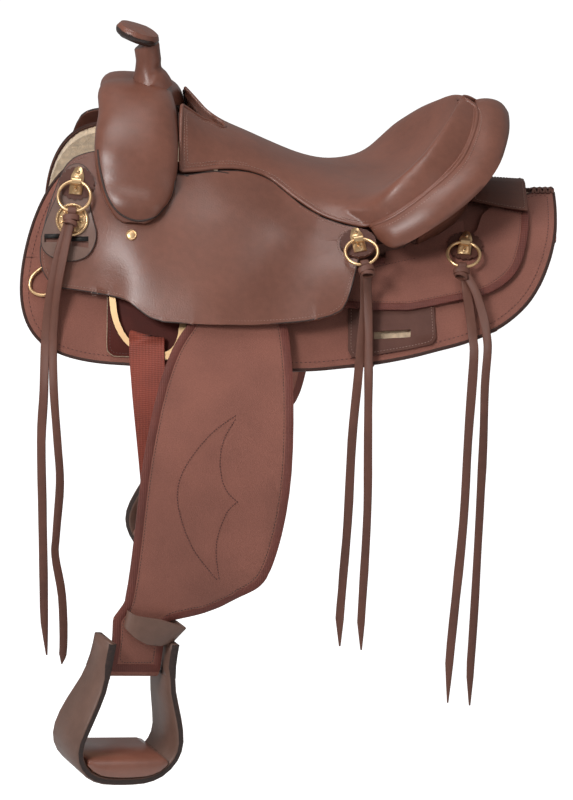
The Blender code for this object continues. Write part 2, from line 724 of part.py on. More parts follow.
def arch_sections(stations, grow, span, count):
    """Sections round an arch; span is how far each runs either side of outward."""
    rows = []
    for i, (y, z, half, depth, share) in enumerate(stations):
        before = stations[max(i - 1, 0)]
        after = stations[min(i + 1, len(stations) - 1)]
        run = Vector((0, -(after[0] - before[0]), after[1] - before[1])).normalized()
        if i == 0:
            run = Vector((0, -1, 0))
        outward = Vector((0, run.z, -run.y))
        centre = Vector((SWELL_X, -y, z))
        level = jockey_height(SWELL_X, y)
        row = []
        for k in range(count + 1):
            angle = mix(-span, span, k / count)
            c, n = math.cos(angle), math.sin(angle)
            power = 2 / SWELL_POWER
            out = math.copysign(abs(c) ** power, c) * (depth + grow)
            fore = math.copysign(abs(n) ** power, n) * (half + grow)
            rise = share * (jockey_height(SWELL_X + fore, y) - level)
            row.append(centre + outward * out + Vector((fore, 0, rise)))
        rows.append(row)
    return rows


def both_sides(rows):
    far = [[Vector((p.x, -p.y, p.z)) for p in row] for row in rows[:0:-1]]
    return far + rows


def build_swell():
    outer = both_sides(arch_sections(swell_stations(), 0.0, SWELL_OPEN, SWELL_SIDES))
    inner = both_sides(arch_sections(swell_stations(), -LEATHER_T, SWELL_OPEN, SWELL_SIDES))
    return shell_between("swell_cover", outer, inner, LEATHER)


def swell_cutter(name, grow):
    rows = both_sides(arch_sections(swell_stations(), grow, math.pi, 24))
    return loft(name, [row[:-1] for row in rows], None, group=CUTTERS)


# Tree: bars on the skirts, ground seat, cantle board and fork, joined as one
BAR = [(-0.262, 0.112), (-0.262, 0.142), (-0.240, 0.158), (-0.120, 0.166), (0.000, 0.160),
       (0.120, 0.138), (0.158, 0.131), (0.172, 0.120), (0.196, 0.109), (0.216, 0.093),
       (0.230, 0.074), (0.224, 0.066), (0.100, 0.060), (0.000, 0.060), (-0.100, 0.070),
       (-0.200, 0.094)]
STRAINER_T = 0.0070
STRAINER_CLEARANCE = 0.0008
STRAINER_STATIONS = (2, 11)
STRAINER_HALF_W = 0.092
STRAINER_MARGIN = 0.010     # kept clear of the seam
STRAINER_LEG = 0.020
STRAINER_SINK = 0.006


def height_at(points, y):
    """Height of a polyline of (y, z) pairs at y; its last height beyond its end."""
    for (y0, z0), (y1, z1) in zip(points, points[1:]):
        if y0 <= y <= y1:
            return mix(z0, z1, (y - y0) / (y1 - y0))
    return points[-1][1]


def strainer_rows():
    """Sections of the ground seat: an arch that stands on both bars."""
    grid = seat_grid(lambda v: seat_thickness(v) + STRAINER_CLEARANCE)
    middle = len(grid[0]) // 2
    rows = []
    for i in range(*STRAINER_STATIONS):
        under = [(-p.y, p.z) for p in grid[i][middle:]]
        x = grid[i][middle].x
        wide = min(STRAINER_HALF_W, under[-1][0] - STRAINER_MARGIN)
        inner = wide - STRAINER_LEG
        top = [(wide * k / 5, height_at(under, wide * k / 5)) for k in range(6)]
        low = [(wide, foot_height(x, wide)), (inner, foot_height(x, inner))]
        low += [(inner * k / 5, height_at(under, inner * k / 5) - STRAINER_T)
                for k in (4, 3, 2, 1, 0)]
        half = top + low
        other = [(-y, z) for y, z in half[-2:0:-1]]
        rows.append([Vector((x, -y, z)) for y, z in half + other])
    return rows


def foot_height(x, y):
    """Height just inside the top of the bar at x, y."""
    best = min((abs(-ride(x, 0.002 * k, BAR_TOP).y - y), 0.002 * k) for k in range(20, 80))
    return ride(x, best[1], BAR_TOP - STRAINER_SINK).z


def build_tree():
    bar = bent_panel("tree", BAR, on_back(BAR_LIFT), BAR_T, WOOD)
    far_bar = far_twin(bar, "far_bar")
    PARTS.objects.unlink(far_bar)
    CUTTERS.objects.link(far_bar)
    far_bar.hide_render = True
    far_bar.display_type = "WIRE"
    strainer = loft("ground_seat", strainer_rows(), None, group=CUTTERS)
    board = shell_between("cantle_board", wall_grid(CANTLE_WALL_IN, sink=0.006),
                          wall_grid(CANTLE_WALL_IN + 0.012, sink=0.006), None, CUTTERS)
    fork_rows = both_sides(arch_sections(spline(FORK, 2), 0.0, math.pi, 16))
    fork = loft("fork", [row[:-1] for row in fork_rows], None, group=CUTTERS)
    for piece in (far_bar, strainer, board, fork):
        add_boolean(bar, piece, "UNION")
    return bar


# Horn
NECK_PROFILE = [(0.0000, -0.012), (0.0310, -0.012), (0.0300, 0.004), (0.0235, 0.014),
                (0.0195, 0.028), (0.0180, 0.044), (0.0182, 0.052), (0.0000, 0.052)]
CAP_LIP = 0.0055


def turned(name, profile, mat, steps=24, group=PARTS):
    """Solid turned about Z from a profile of (radius, height)."""
    rows = []
    for k in range(steps):
        angle = 2 * math.pi * k / steps
        rows.append([Vector((r * math.cos(angle), r * math.sin(angle), z)) for r, z in profile])
    bm = bmesh.new()
    grid = [[bm.verts.new(p) for p in row] for row in rows]
    for a, b in zip(grid, grid[1:] + grid[:1]):
        for i in range(len(profile) - 1):
            bm.faces.new((a[i], b[i], b[i + 1], a[i + 1]))
    return finish(name, mesh_from(bm, name), mat, group)


def build_horn():
    neck = turned("horn_neck", NECK_PROFILE, LEATHER)
    neck.location = (HORN_BASE[0], 0, HORN_BASE[1])
    neck.rotation_euler = (0, HORN_LEAN, 0)
    add_boolean(neck, swell_cutter("neck_cutter", SEAT_GAP), "DIFFERENCE")
    half = CAP_T / 2
    profile = [(0.0, -half), (CAP_R - CAP_LIP, -half)]
    for k in range(1, 6):
        angle = -math.pi / 2 + math.pi * k / 6
        profile.append((CAP_R - CAP_LIP + CAP_LIP * math.cos(angle), half * math.sin(angle)))
    profile += [(CAP_R - CAP_LIP, half), (0.0, half + 0.0015)]
    cap = turned("horn_cap", profile, LEATHER, 32)
    cap.location = (CAP_CENTRE[0], 0, CAP_CENTRE[1])
    cap.rotation_euler = (0, CAP_TILT, 0)
    trim = turned("cap_cutter", [(0, -half - SEAT_GAP), (CAP_R + 0.01, -half - SEAT_GAP),
                                 (CAP_R + 0.01, 0.05), (0, 0.05)], None, 16, CUTTERS)
    trim.location = cap.location
    trim.rotation_euler = cap.rotation_euler
    add_boolean(neck, trim, "DIFFERENCE")


# Fender, seen as a flat pattern of x and distance d down from FENDER_S
FENDER_FRONT = [(-0.125, 0.000), (-0.143, 0.030), (-0.160, 0.080), (-0.174, 0.146),
                (-0.184, 0.205), (-0.193, 0.280), (-0.201, 0.338), (-0.207, 0.366)]
FENDER_REAR = [(-0.110, 0.382), (-0.079, 0.374), (-0.043, 0.357), (-0.022, 0.338),
               (-0.007, 0.301), (0.005, 0.250), (0.012, 0.194), (0.014, 0.127),
               (0.012, 0.060), (0.006, 0.004)]
FENDER_SHOULDER = [(-0.003, -0.022), (-0.026, -0.040)]
LEATHER_STRAP_X = (-0.090, -0.030)
LEATHER_STRAP_TOP = -0.112
TAIL_START = 0.387


def fender_angle(d):
    crown, slope, radius = back_form(FENDER_X)
    flat = slope + FENDER_S / radius
    return mix(flat, FENDER_HANG, smooth((d - FENDER_FLAT) / FENDER_BEND))


def fender_roll(d):
    return TAIL_ROLL * smooth((d - TAIL_TOP + 0.020) / 0.040)


def fender_base(d):
    """Middle line of the fender at distance d down."""
    place = ride(FENDER_X, FENDER_S, FENDER_LIFT)
    steps = 48
    for k in range(steps):
        here = d * (k + 0.5) / steps
        angle = fender_angle(here)
        down = Vector((0, -math.cos(angle), -math.sin(angle)))
        roll = fender_roll(here)
        lean = fender_axes(here, fender_yaw(here))[0] * math.sin(roll)
        place += (down * math.cos(roll) - lean) * (d / steps)
    return place


def fender_axes(d, yaw):
    angle = fender_angle(d)
    outward = Vector((0, -math.sin(angle), math.cos(angle)))
    rear = Vector((math.cos(yaw), 0, 0)) - outward * math.sin(yaw)
    normal = outward * math.cos(yaw) + Vector((math.sin(yaw), 0, 0))
    return rear, normal


def fender_yaw(d):
    return mix(FENDER_YAW, TAIL_TWIST, smooth((d - TAIL_TOP + 0.045) / 0.090))


def fender_place(x, d, up):
    """Place on the fender; its tail is twisted and rolled to turn the stirrup outward."""
    flat_rear, _ = fender_axes(d, FENDER_YAW)
    rear, normal = fender_axes(d, fender_yaw(d))
    roll = fender_roll(d)
    across = rear * math.cos(roll) + normal.cross(rear) * -math.sin(roll)
    middle = fender_base(d) + flat_rear * (BOLT_X - FENDER_X)
    return middle + across * (x - BOLT_X) + normal * up


def build_fender():
    tail = (BOLT_X - TAIL_W / 2, BOLT_X + TAIL_W / 2)
    outline = spline(FENDER_FRONT, 2)
    outline += [(tail[0], TAIL_START), (tail[0], BOLT_DROP + 0.001), (tail[1], BOLT_DROP + 0.001),
                (tail[1], TAIL_START + 0.002)]
    outline += spline(FENDER_REAR, 2) + FENDER_SHOULDER
    outline += [(LEATHER_STRAP_X[1], LEATHER_STRAP_TOP), (LEATHER_STRAP_X[0], LEATHER_STRAP_TOP),
                (LEATHER_STRAP_X[0], -0.040), (-0.112, -0.024)]
    fender = bent_panel("fender_L", outline, fender_place, FENDER_T, CORDURA,
                        cell=(0.045, 0.030))
    hole = BOLT_R + 0.0005
    eye = tube_mesh("tail_eye", hole + FENDER_T, hole, TAIL_W, "X", None, CUTTERS)
    eye.matrix_world = bolt_frame()
    bpy.context.view_layer.update()
    add_boolean(fender, eye, "UNION")
    apply_modifiers(fender)
    place = fender_place(FENDER_X, LEATHER_STRAP_TOP + 0.010, 0.0)
    rear, normal = fender_axes(0.0, FENDER_YAW)
    pivot = Matrix((rear, normal.cross(rear), normal)).transposed().to_4x4()
    set_origin(fender, Matrix.Translation(place) @ pivot)
    return fender


def bolt_frame():
    """Stirrup bolt: X along the bolt to the rear, Z up."""
    centre = fender_place(BOLT_X, BOLT_DROP, -(BOLT_R + 0.0005))
    rear = (fender_place(BOLT_X + 0.01, BOLT_DROP, 0.0)
            - fender_place(BOLT_X - 0.01, BOLT_DROP, 0.0)).normalized()
    up = (Vector((0, 0, 1)) - rear * rear.z).normalized()
    basis = Matrix((rear, up.cross(rear), up)).transposed().to_4x4()
    return Matrix.Translation(centre) @ basis


HOBBLE_D = (0.390, 0.419)
HOBBLE_T = 0.0030
HOBBLE_BULGE = 0.0035


def build_hobble():
    """Strap buckled round the neck of the fender: a closed band."""
    half = TAIL_W / 2 + 0.0006
    rows = []
    count = 28
    for k in range(count):
        angle = 2 * math.pi * k / count
        c, n = math.cos(angle), math.sin(angle)
        across = math.copysign(abs(c) ** 0.45, c)
        depth = math.copysign(abs(n) ** 0.60, n)
        row = []
        for d, grow in ((HOBBLE_D[0], 0), (HOBBLE_D[0], 1), (HOBBLE_D[1], 1), (HOBBLE_D[1], 0)):
            extra = 0.0008 + grow * HOBBLE_T
            out = FENDER_T / 2 + depth * (FENDER_T / 2 + 0.0012 + HOBBLE_BULGE * abs(n) + extra)
            row.append(fender_place(BOLT_X + across * (half + extra), d, out))
        rows.append(row)
    hobble = loft("hobble_strap_L", rows, LEATHER, ring=True)
    return hobble


STIRRUP_PATH = [(-0.0470, 0.042), (-0.0475, 0.012), (-0.0520, -0.022), (-0.0640, -0.057),
                (-0.0735, -0.090), (-0.0705, -0.114), (-0.0540, -0.134), (-0.0300, -0.1430),
                (0.0000, -0.1445)]
STIRRUP_SECTION = [(1.0, -0.55), (1.0, 0.55), (0.93, 1.0), (0.0, 1.0), (-0.93, 1.0),
                   (-1.0, 0.55), (-1.0, -0.55), (-0.93, -1.0), (0.0, -1.0), (0.93, -1.0)]
STIRRUP_TOP_DEPTH = 0.046
STIRRUP_FOOT_DEPTH = 0.077
TREAD_HALF_W = 0.059
TREAD_DEPTH = 0.083
TREAD_TOP = -0.1120
TREAD_GAP = 0.0008


def build_stirrup():
    half_path = spline(STIRRUP_PATH, 2)
    path = half_path + [(-x, z) for x, z in half_path[-2::-1]]
    rows = []
    for i, (x, z) in enumerate(path):
        before = path[max(i - 1, 0)]
        after = path[min(i + 1, len(path) - 1)]
        run = Vector((after[0] - before[0], 0, after[1] - before[1])).normalized()
        out = Vector((run.z, 0, -run.x))
        depth = mix(STIRRUP_TOP_DEPTH, STIRRUP_FOOT_DEPTH, smooth((0.03 - z) / 0.11)) / 2
        row = []
        for c, n in STIRRUP_SECTION:
            across = c * depth
            thick = n * STIRRUP_T / 2
            row.append(Vector((x, across, z)) + out * thick)
        rows.append(row)
    stirrup = loft("stirrup_L", rows, LEATHER)
    hole = tube_mesh("bolt_hole", BOLT_R + 0.0004, 0, BOLT_L + 0.0008, "X", None, CUTTERS, 16)
    add_boolean(stirrup, hole, "DIFFERENCE")
    apply_modifiers(stirrup)
    stirrup.matrix_world = bolt_frame()
    bolt = tube_mesh("stirrup_bolt_L", BOLT_R, 0, BOLT_L, "X", STEEL, PARTS, 14)
    bolt.matrix_world = bolt_frame()
    tread = build_tread(half_path)
    return stirrup, bolt, tread


def build_tread(half_path):
    """Tread block: its underside follows the foot of the stirrup."""
    inner = []
    for before, here, after in zip(half_path, half_path[1:], half_path[2:]):
        run = Vector((after[0] - before[0], 0, after[1] - before[1])).normalized()
        place = Vector((here[0], 0, here[1])) + Vector((-run.z, 0, run.x)) * STIRRUP_T / 2
        if place.z < -0.100:
            inner.append((-place.x, place.z))
    inner = [(0.0, STIRRUP_PATH[-1][1] + STIRRUP_T / 2)] + inner[::-1]
    rows = []
    for k in range(-6, 7):
        x = TREAD_HALF_W * k / 6
        floor = height_at(inner, abs(x)) + TREAD_GAP
        top = TREAD_TOP - 0.0025 * (abs(k) == 6)
        edge = min(0.004, (top - floor) * 0.3)
        half = TREAD_DEPTH / 2 - 0.002 * (abs(k) == 6)
        rows.append([Vector((x, y, z)) for y, z in (
            (-half, floor + edge * 0.5), (-half, top - edge), (-half + edge, top),
            (half - edge, top), (half, top - edge), (half, floor + edge * 0.5),
            (half - edge, floor), (-half + edge, floor))])
    tread = loft("stirrup_tread_L", rows, LEATHER)
    tread.matrix_world = bolt_frame()
    return tread


def move_to_parts(obj, mat):
    for group in list(obj.users_collection):
        group.objects.unlink(obj)
    PARTS.objects.link(obj)
    obj.data.materials.append(mat)
    obj.data.shade_smooth()
    obj.data.set_sharp_from_angle(angle=math.radians(40))


# Rigging dee, webbing tie strap and breast collar dee
DEE_PATH = [(-0.134, 0.266), (-0.178, 0.262), (-0.222, 0.266), (-0.2245, 0.298),
            (-0.217, 0.324), (-0.202, 0.340), (-0.178, 0.346), (-0.154, 0.340),
            (-0.139, 0.324), (-0.1325, 0.298)]
DEE_W = 0.0085
WEB_W = 0.047
WEB_UPPER = [(-0.1785, 0.326), (-0.178, 0.350), (-0.176, 0.374)]
WEB_LOWER = [(-0.173, -0.0110, -0.040), (-0.167, -0.0120, -0.115), (-0.161, -0.0125, -0.210),
             (-0.158, -0.0125, -0.330)]


def build_rigging_dee():
    path = spline(DEE_PATH, 3, closed=True)
    rows = []
    number = len(path)
    for i, (x, s) in enumerate(path):
        before, after = path[i - 1], path[(i + 1) % number]
        run = Vector((after[0] - before[0], after[1] - before[1])).normalized()
        side = (-run.y * DEE_W / 2, run.x * DEE_W / 2)
        rows.append([ride(x + side[0] * k, s + side[1] * k, DEE_LIFT + up)
                     for k, up in ((-1, 0), (1, 0), (1, DEE_T), (-1, DEE_T))])
    return loft("rigging_dee_L", rows, BRASS, ring=True)


def rear_along(x, s, lift):
    """Direction to the rear along the back at a place."""
    return (ride(x + 0.01, s, lift) - ride(x - 0.01, s, lift)).normalized()


def web_line(lift):
    """Middle line of the webbing's back layer from the dee down, with its side directions."""
    upper = [ride(x, s, lift) for x, s in WEB_UPPER]
    edge = upper[-1]
    lower = [Vector((x, edge.y + out, edge.z + down)) for x, out, down in WEB_LOWER]
    places = [Vector(p) for p in spline(upper + lower, 2)]
    bent = [rear_along(x, s, lift) for x, s in WEB_UPPER]
    plumb = Vector((1, 0, 0))
    sides = bent + [bent[-1].lerp(plumb, share) for share in (0.10, 0.70, 1.0, 1.0)]
    return places, [Vector(p) for p in spline(sides, 2)]


def strap(name, centres, sides, width_of, thick, mat, group=PARTS):
    """Flat strap along a route, with a side direction per place and a width per share."""
    rows = []
    number = len(centres)
    for i, centre in enumerate(centres):
        before = centres[max(i - 1, 0)]
        after = centres[min(i + 1, number - 1)]
        run = (after - before).normalized()
        share = i / (number - 1)
        side = (sides[i] - run * sides[i].dot(run)).normalized()
        out = run.cross(side)
        half = side * width_of(share) / 2
        up = out * thick / 2
        rows.append([centre - half - up, centre + half - up, centre + half + up,
                     centre - half + up])
    return loft(name, rows, mat, group=group)


def build_tie_strap():
    back, sides = web_line(WEB_LIFT + WEB_T / 2)
    x, s = WEB_UPPER[0]
    lift_way = (ride(x, s, 0.01) - ride(x, s, 0.0)).normalized()
    number = len(back)
    front = []
    for i, place in enumerate(back):
        run = (back[min(i + 1, number - 1)] - back[max(i - 1, 0)]).normalized()
        out = side_out(run, sides[i])
        apart = (WEB_TOP_LIFT - WEB_LIFT) * out.dot(lift_way)
        closing = smooth((i - 3) / (number * 0.4))
        front.append(place + out * mix(apart, WEB_T + SEAT_GAP * 2, closing))
    centre = (front[0] + back[0]) / 2
    radius = (front[0] - back[0]) / 2
    up = (back[0] - back[1]).normalized() * radius.length
    fold = [centre + radius * math.cos(a) + up * math.sin(a)
            for a in (math.pi * k / 6 for k in range(1, 6))]
    route = front[::-1] + fold + back
    sides = sides[::-1] + [sides[0]] * len(fold) + sides
    return strap("tie_strap_L", route, sides, lambda t: WEB_W, WEB_T, WEB)


def side_out(run, side):
    """Outward normal of a strap on the near side."""
    out = run.cross(side).normalized()
    return out if out.y < 0 else -out


BREAST_DEE_AT = (-0.3180, 0.2790)
BREAST_DEE_TURN = math.radians(28)
BREAST_DEE_BAR = 0.0160
BREAST_DEE_PATH = [(0.0160, -0.0165), (0.0160, 0.0165), (0.0040, 0.0180), (-0.0110, 0.0130),
                   (-0.0190, 0.0000), (-0.0110, -0.0130), (0.0040, -0.0180)]


def wire_loop(name, path, radius, mat, sides=8):
    """Closed wire in the local XY plane along path."""
    rows = []
    number = len(path)
    for i, (x, y) in enumerate(path):
        before, after = path[i - 1], path[(i + 1) % number]
        run = Vector((after[0] - before[0], after[1] - before[1], 0)).normalized()
        out = Vector((run.y, -run.x, 0))
        row = []
        for k in range(sides):
            angle = 2 * math.pi * k / sides
            row.append(Vector((x, y, 0)) + out * radius * math.cos(angle)
                       + Vector((0, 0, radius * math.sin(angle))))
        rows.append(row)
    return loft(name, rows, mat, ring=True)


def build_breast_dee():
    x, s = BREAST_DEE_AT
    height = SKIRT_TOP + SEAT_GAP * 2 + RING_WIRE_R
    place = frame_on(x, s, lambda a, b: height, BREAST_DEE_TURN)
    path = spline(BREAST_DEE_PATH, 2, closed=True)
    path = [(px - BREAST_DEE_BAR, py) for px, py in path]
    dee = wire_loop("breast_dee_L", path, RING_WIRE_R, BRASS)
    dee.matrix_world = place @ Matrix.Translation((BREAST_DEE_BAR, 0, 0))
    return dee


# Keeper, conchos, rosettes, clips, rings and strings
KEEPER = [(-0.291, 0.142), (-0.299, 0.172), (-0.312, 0.203), (-0.320, 0.228), (-0.316, 0.243),
          (-0.302, 0.252), (-0.281, 0.255), (-0.260, 0.247), (-0.249, 0.231), (-0.247, 0.213),
          (-0.256, 0.184), (-0.257, 0.142), (-0.274, 0.131)]
KEEPER_SLOTS = [(-0.315, -0.294, 0.2250, 0.2325), (-0.279, -0.257, 0.2280, 0.2355)]
CONCHO_AT = (-0.279, 0.2045)
CONCHO_R = 0.0215
CONCHO_T = 0.0028
PLATE_CLEARANCE = 0.0006


def keeper_top(x, s):
    return jockey_top(x, s) + GAP + KEEPER_T


def mid_rosette_top(x, s):
    return jockey_top(x, s) + ROSETTE_T


def rear_rosette_top(x, s):
    return REAR_JOCKEY_TOP + SEAT_GAP + ROSETTE_T


# name: x, s of the ring's eye, turn of the clip, and what it lies on
CARRIERS = {
    "front": (-0.2740, 0.1580, math.radians(-6), keeper_top),
    "mid": (0.0975, 0.1485, math.radians(12), mid_rosette_top),
    "rear": (0.2400, 0.1345, math.radians(-7), rear_rosette_top),
}


def disc(name, radius, low, high, mat, group=PARTS, steps=28):
    return turned(name, [(0, low), (radius, low), (radius, high), (0, high)], mat, steps, group)


def build_jockey_with_rosette(jockey):
    x, s, turn, _ = CARRIERS["mid"]
    rosette = disc("mid_rosette", ROSETTE_R, -JOCKEY_T * 0.6, ROSETTE_T, None, CUTTERS)
    rosette.matrix_world = frame_on(x, s, jockey_top, turn)
    bpy.context.view_layer.update()
    add_boolean(jockey, rosette, "UNION")
    apply_modifiers(jockey)
    far_twin(jockey, "side_jockey_R")


def clip_mesh(name):
    """Clip: a plate with a pointed tongue and a rolled eye that holds the ring."""
    half = CLIP_W / 2
    outline = [(-half, -0.016), (half, -0.016), (half, 0.010), (half * 0.55, 0.021),
               (0, 0.024), (-half * 0.55, 0.021), (-half, 0.010)]
    rows = [[Vector((x, y, z)) for x, y in outline] for z in (0, CLIP_T)]
    plate = loft(name, rows, BRASS)
    eye = tube_mesh(name + "_eye", EYE_R, EYE_HOLE_R, EYE_W, "X", None, CUTTERS, 14)
    eye.location = (0, 0, CLIP_T + EYE_R - 0.0006)
    bpy.context.view_layer.update()
    add_boolean(plate, eye, "UNION")
    apply_modifiers(plate)
    plate.data.set_sharp_from_angle(angle=math.radians(35))
    return plate


# Saddle strings: two tails each, as x, s, lift on the saddle and x, y, z where they hang
STRINGS = {
    "front": (
        ([(-0.285, 0.215, 0.0530), (-0.294, 0.242, 0.0475), (-0.305, 0.284, 0.0375),
          (-0.312, 0.327, 0.0215), (-0.315, 0.365, 0.0180)],
         [(-0.3155, -0.250, -0.215), (-0.320, -0.256, -0.285), (-0.321, -0.258, -0.397),
          (-0.322, -0.258, -0.498), (-0.324, -0.258, -0.592)]),
        ([(-0.281, 0.215, 0.0580), (-0.287, 0.242, 0.0520), (-0.296, 0.284, 0.0415),
          (-0.302, 0.327, 0.0260), (-0.304, 0.365, 0.0220)],
         [(-0.302, -0.254, -0.215), (-0.298, -0.262, -0.286), (-0.296, -0.264, -0.341),
          (-0.303, -0.262, -0.415), (-0.305, -0.262, -0.446), (-0.297, -0.264, -0.504),
          (-0.297, -0.264, -0.579), (-0.303, -0.264, -0.601)])),
    "mid": (
        ([(0.106, 0.202, 0.0420), (0.106, 0.222, 0.0330), (0.103, 0.253, 0.0270),
          (0.100, 0.283, 0.0225)],
         [(0.0975, -0.258, -0.201), (0.091, -0.266, -0.276), (0.086, -0.267, -0.391),
          (0.079, -0.267, -0.490), (0.073, -0.267, -0.571)]),
        ([(0.110, 0.202, 0.0470), (0.111, 0.222, 0.0375), (0.112, 0.253, 0.0315),
          (0.112, 0.283, 0.0270)],
         [(0.112, -0.262, -0.201), (0.112, -0.271, -0.276), (0.112, -0.272, -0.374),
          (0.107, -0.272, -0.490), (0.102, -0.272, -0.575)])),
    "rear": (
        ([(0.2385, 0.188, 0.0310), (0.241, 0.207, 0.0285), (0.246, 0.238, 0.0215),
          (0.249, 0.262, 0.0190)],
         [(0.250, -0.247, -0.171), (0.244, -0.257, -0.281), (0.240, -0.258, -0.396),
          (0.229, -0.258, -0.540), (0.220, -0.258, -0.658)]),
        ([(0.2425, 0.188, 0.0350), (0.253, 0.207, 0.0325), (0.263, 0.235, 0.0250),
          (0.267, 0.258, 0.0230)],
         [(0.268, -0.243, -0.160), (0.265, -0.252, -0.205), (0.264, -0.260, -0.283),
          (0.260, -0.261, -0.424), (0.255, -0.261, -0.570), (0.250, -0.261, -0.661)])),
}
KNOT_W = 0.0130
KNOT_HOLE_R = 0.0038
TIP_SHARE = 0.05


def tail_width(share):
    return mix(THONG_W, THONG_W * 0.25, smooth((share - 1 + TIP_SHARE) / TIP_SHARE))


def build_string(name, where, eye_place):
    ring_foot = eye_place @ Vector((0, -2 * RING_R, 0))
    knot = tube_mesh(name, KNOT_HOLE_R + THONG_T, KNOT_HOLE_R, KNOT_W, "X", LEATHER, PARTS, 14)
    knot.matrix_world = Matrix.Translation(ring_foot) @ eye_place.to_3x3().to_4x4()
    bpy.context.view_layer.update()
    for number, (laid, hung) in enumerate(STRINGS[where]):
        shift = (-0.0020, 0.0020)[number]
        start = eye_place @ Vector((shift, -2 * RING_R - KNOT_HOLE_R - THONG_T * 0.9, 0))
        points = [start] + [ride(x, s, lift) for x, s, lift in laid]
        points += [Vector(point) for point in hung]
        sides = [eye_place.to_3x3() @ Vector((1, 0, 0))]
        sides += [rear_along(x, s, lift) for x, s, lift in laid]
        sides += [Vector((1, 0, 0))] * len(hung)
        route = [Vector(point) for point in spline(points, 2)]
        tail = strap(f"{name}_tail_{number}", route, [Vector(p) for p in spline(sides, 2)],
                     tail_width, THONG_T, None, CUTTERS)
        add_boolean(knot, tail, "UNION")
    apply_modifiers(knot)
    return knot


def build_hardware():
    keeper = bent_panel("latigo_keeper_L", spline(KEEPER, 2, closed=True),
                        lambda x, s, up: ride(x, s, jockey_top(x, s) + GAP + up), KEEPER_T, DARK,
                        holes=KEEPER_SLOTS)
    far_twin(keeper, "latigo_keeper_R")
    x, s = CONCHO_AT
    profile = [(0, 0), (CONCHO_R, 0), (CONCHO_R, 0.0014), (CONCHO_R * 0.86, 0.0022),
               (CONCHO_R * 0.80, 0.0014), (CONCHO_R * 0.45, CONCHO_T * 0.9), (0, CONCHO_T)]
    concho = turned("concho_L", profile, BRASS, 28)
    concho.matrix_world = (frame_on(x, s, keeper_top)
                           @ Matrix.Translation((0, 0, PLATE_CLEARANCE)))
    far_twin(concho, "concho_R")
    x, s, turn, _ = CARRIERS["rear"]
    rosette = disc("rear_rosette_L", ROSETTE_R, 0, ROSETTE_T, LEATHER)
    rosette.matrix_world = frame_on(x, s, lambda a, b: REAR_JOCKEY_TOP + SEAT_GAP, turn)
    far_twin(rosette, "rear_rosette_R")
    for where, (x, s, turn, top) in CARRIERS.items():
        seat = frame_on(x, s, top, turn) @ Matrix.Translation((0, 0, PLATE_CLEARANCE))
        clip = clip_mesh(f"{where}_clip_L")
        clip.matrix_world = seat
        far_twin(clip, f"{where}_clip_R")
        eye_place = seat @ Matrix.Translation((0, 0, CLIP_T + EYE_R - 0.0006))
        bpy.ops.mesh.primitive_torus_add(major_radius=RING_R, minor_radius=RING_WIRE_R,
                                         major_segments=20, minor_segments=6)
        ring = bpy.context.active_object
        ring.name = f"{where}_ring_L"
        ring.data.name = ring.name
        move_to_parts(ring, BRASS)
        ring.data.transform(Matrix.Translation((0, -RING_R, 0)))
        ring.matrix_world = eye_place
        bpy.context.view_layer.update()
        far_twin(ring, f"{where}_ring_R")
        build_string(f"{where}_string_L", where, eye_place)


def far_fender_swing(pivot):
    """Turn about the far fender's pivot: it hangs straight, behind the near one."""
    return pivot @ Matrix.Rotation(-FAR_SWING, 4, "Z") @ pivot.inverted()


def main():
    build_tree()
    build_swell()
    build_horn()
    build_seat()
    build_roll()
    build_cantle_back()
    build_skirts()
    build_jockey_with_rosette(build_jockeys())
    hanging = [build_fender(), build_hobble(), *build_stirrup()]
    bpy.context.view_layer.update()
    far = [far_twin(piece, piece.name[:-1] + "R") for piece in hanging]
    swing = far_fender_swing(far[0].matrix_world.copy())
    for piece in far:
        piece.matrix_world = swing @ piece.matrix_world
    for piece in (build_rigging_dee(), build_tie_strap(), build_breast_dee()):
        far_twin(piece, piece.name[:-1] + "R")
    build_hardware()


main()
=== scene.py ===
"""Western trail saddle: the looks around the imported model."""
import json
import math

import bmesh
import bpy
from bpy.props import FloatProperty, FloatVectorProperty, PointerProperty
from mathutils import Matrix, Vector, noise
from mathutils.bvhtree import BVHTree
from mathutils.kdtree import KDTree

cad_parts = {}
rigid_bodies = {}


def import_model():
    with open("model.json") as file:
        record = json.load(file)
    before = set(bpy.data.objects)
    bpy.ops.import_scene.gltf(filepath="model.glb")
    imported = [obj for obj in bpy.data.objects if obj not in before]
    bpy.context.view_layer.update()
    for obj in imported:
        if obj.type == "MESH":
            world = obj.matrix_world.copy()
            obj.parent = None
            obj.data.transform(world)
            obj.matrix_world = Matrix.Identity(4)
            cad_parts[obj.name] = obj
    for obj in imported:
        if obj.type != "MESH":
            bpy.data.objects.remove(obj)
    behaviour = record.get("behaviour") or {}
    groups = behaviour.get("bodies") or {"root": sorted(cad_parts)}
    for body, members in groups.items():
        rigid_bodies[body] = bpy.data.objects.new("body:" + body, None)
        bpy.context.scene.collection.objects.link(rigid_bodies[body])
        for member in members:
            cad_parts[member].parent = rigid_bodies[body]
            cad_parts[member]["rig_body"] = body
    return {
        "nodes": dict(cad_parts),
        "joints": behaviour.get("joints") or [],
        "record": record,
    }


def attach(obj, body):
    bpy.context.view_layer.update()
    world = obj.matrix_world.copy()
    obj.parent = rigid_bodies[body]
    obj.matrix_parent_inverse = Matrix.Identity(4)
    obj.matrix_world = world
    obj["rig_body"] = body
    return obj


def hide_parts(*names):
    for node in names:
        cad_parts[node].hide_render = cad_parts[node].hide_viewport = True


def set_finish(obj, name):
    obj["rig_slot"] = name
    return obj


bl_info = {
    "name": "Western trail saddle",
    "version": (1, 0, 0),
    "blender": (4, 5, 0),
    "location": "View3D > Sidebar > Saddle",
    "description": "Dresses the packed saddle in leather, woven cloth, stitching and brass",
    "category": "Object",
}

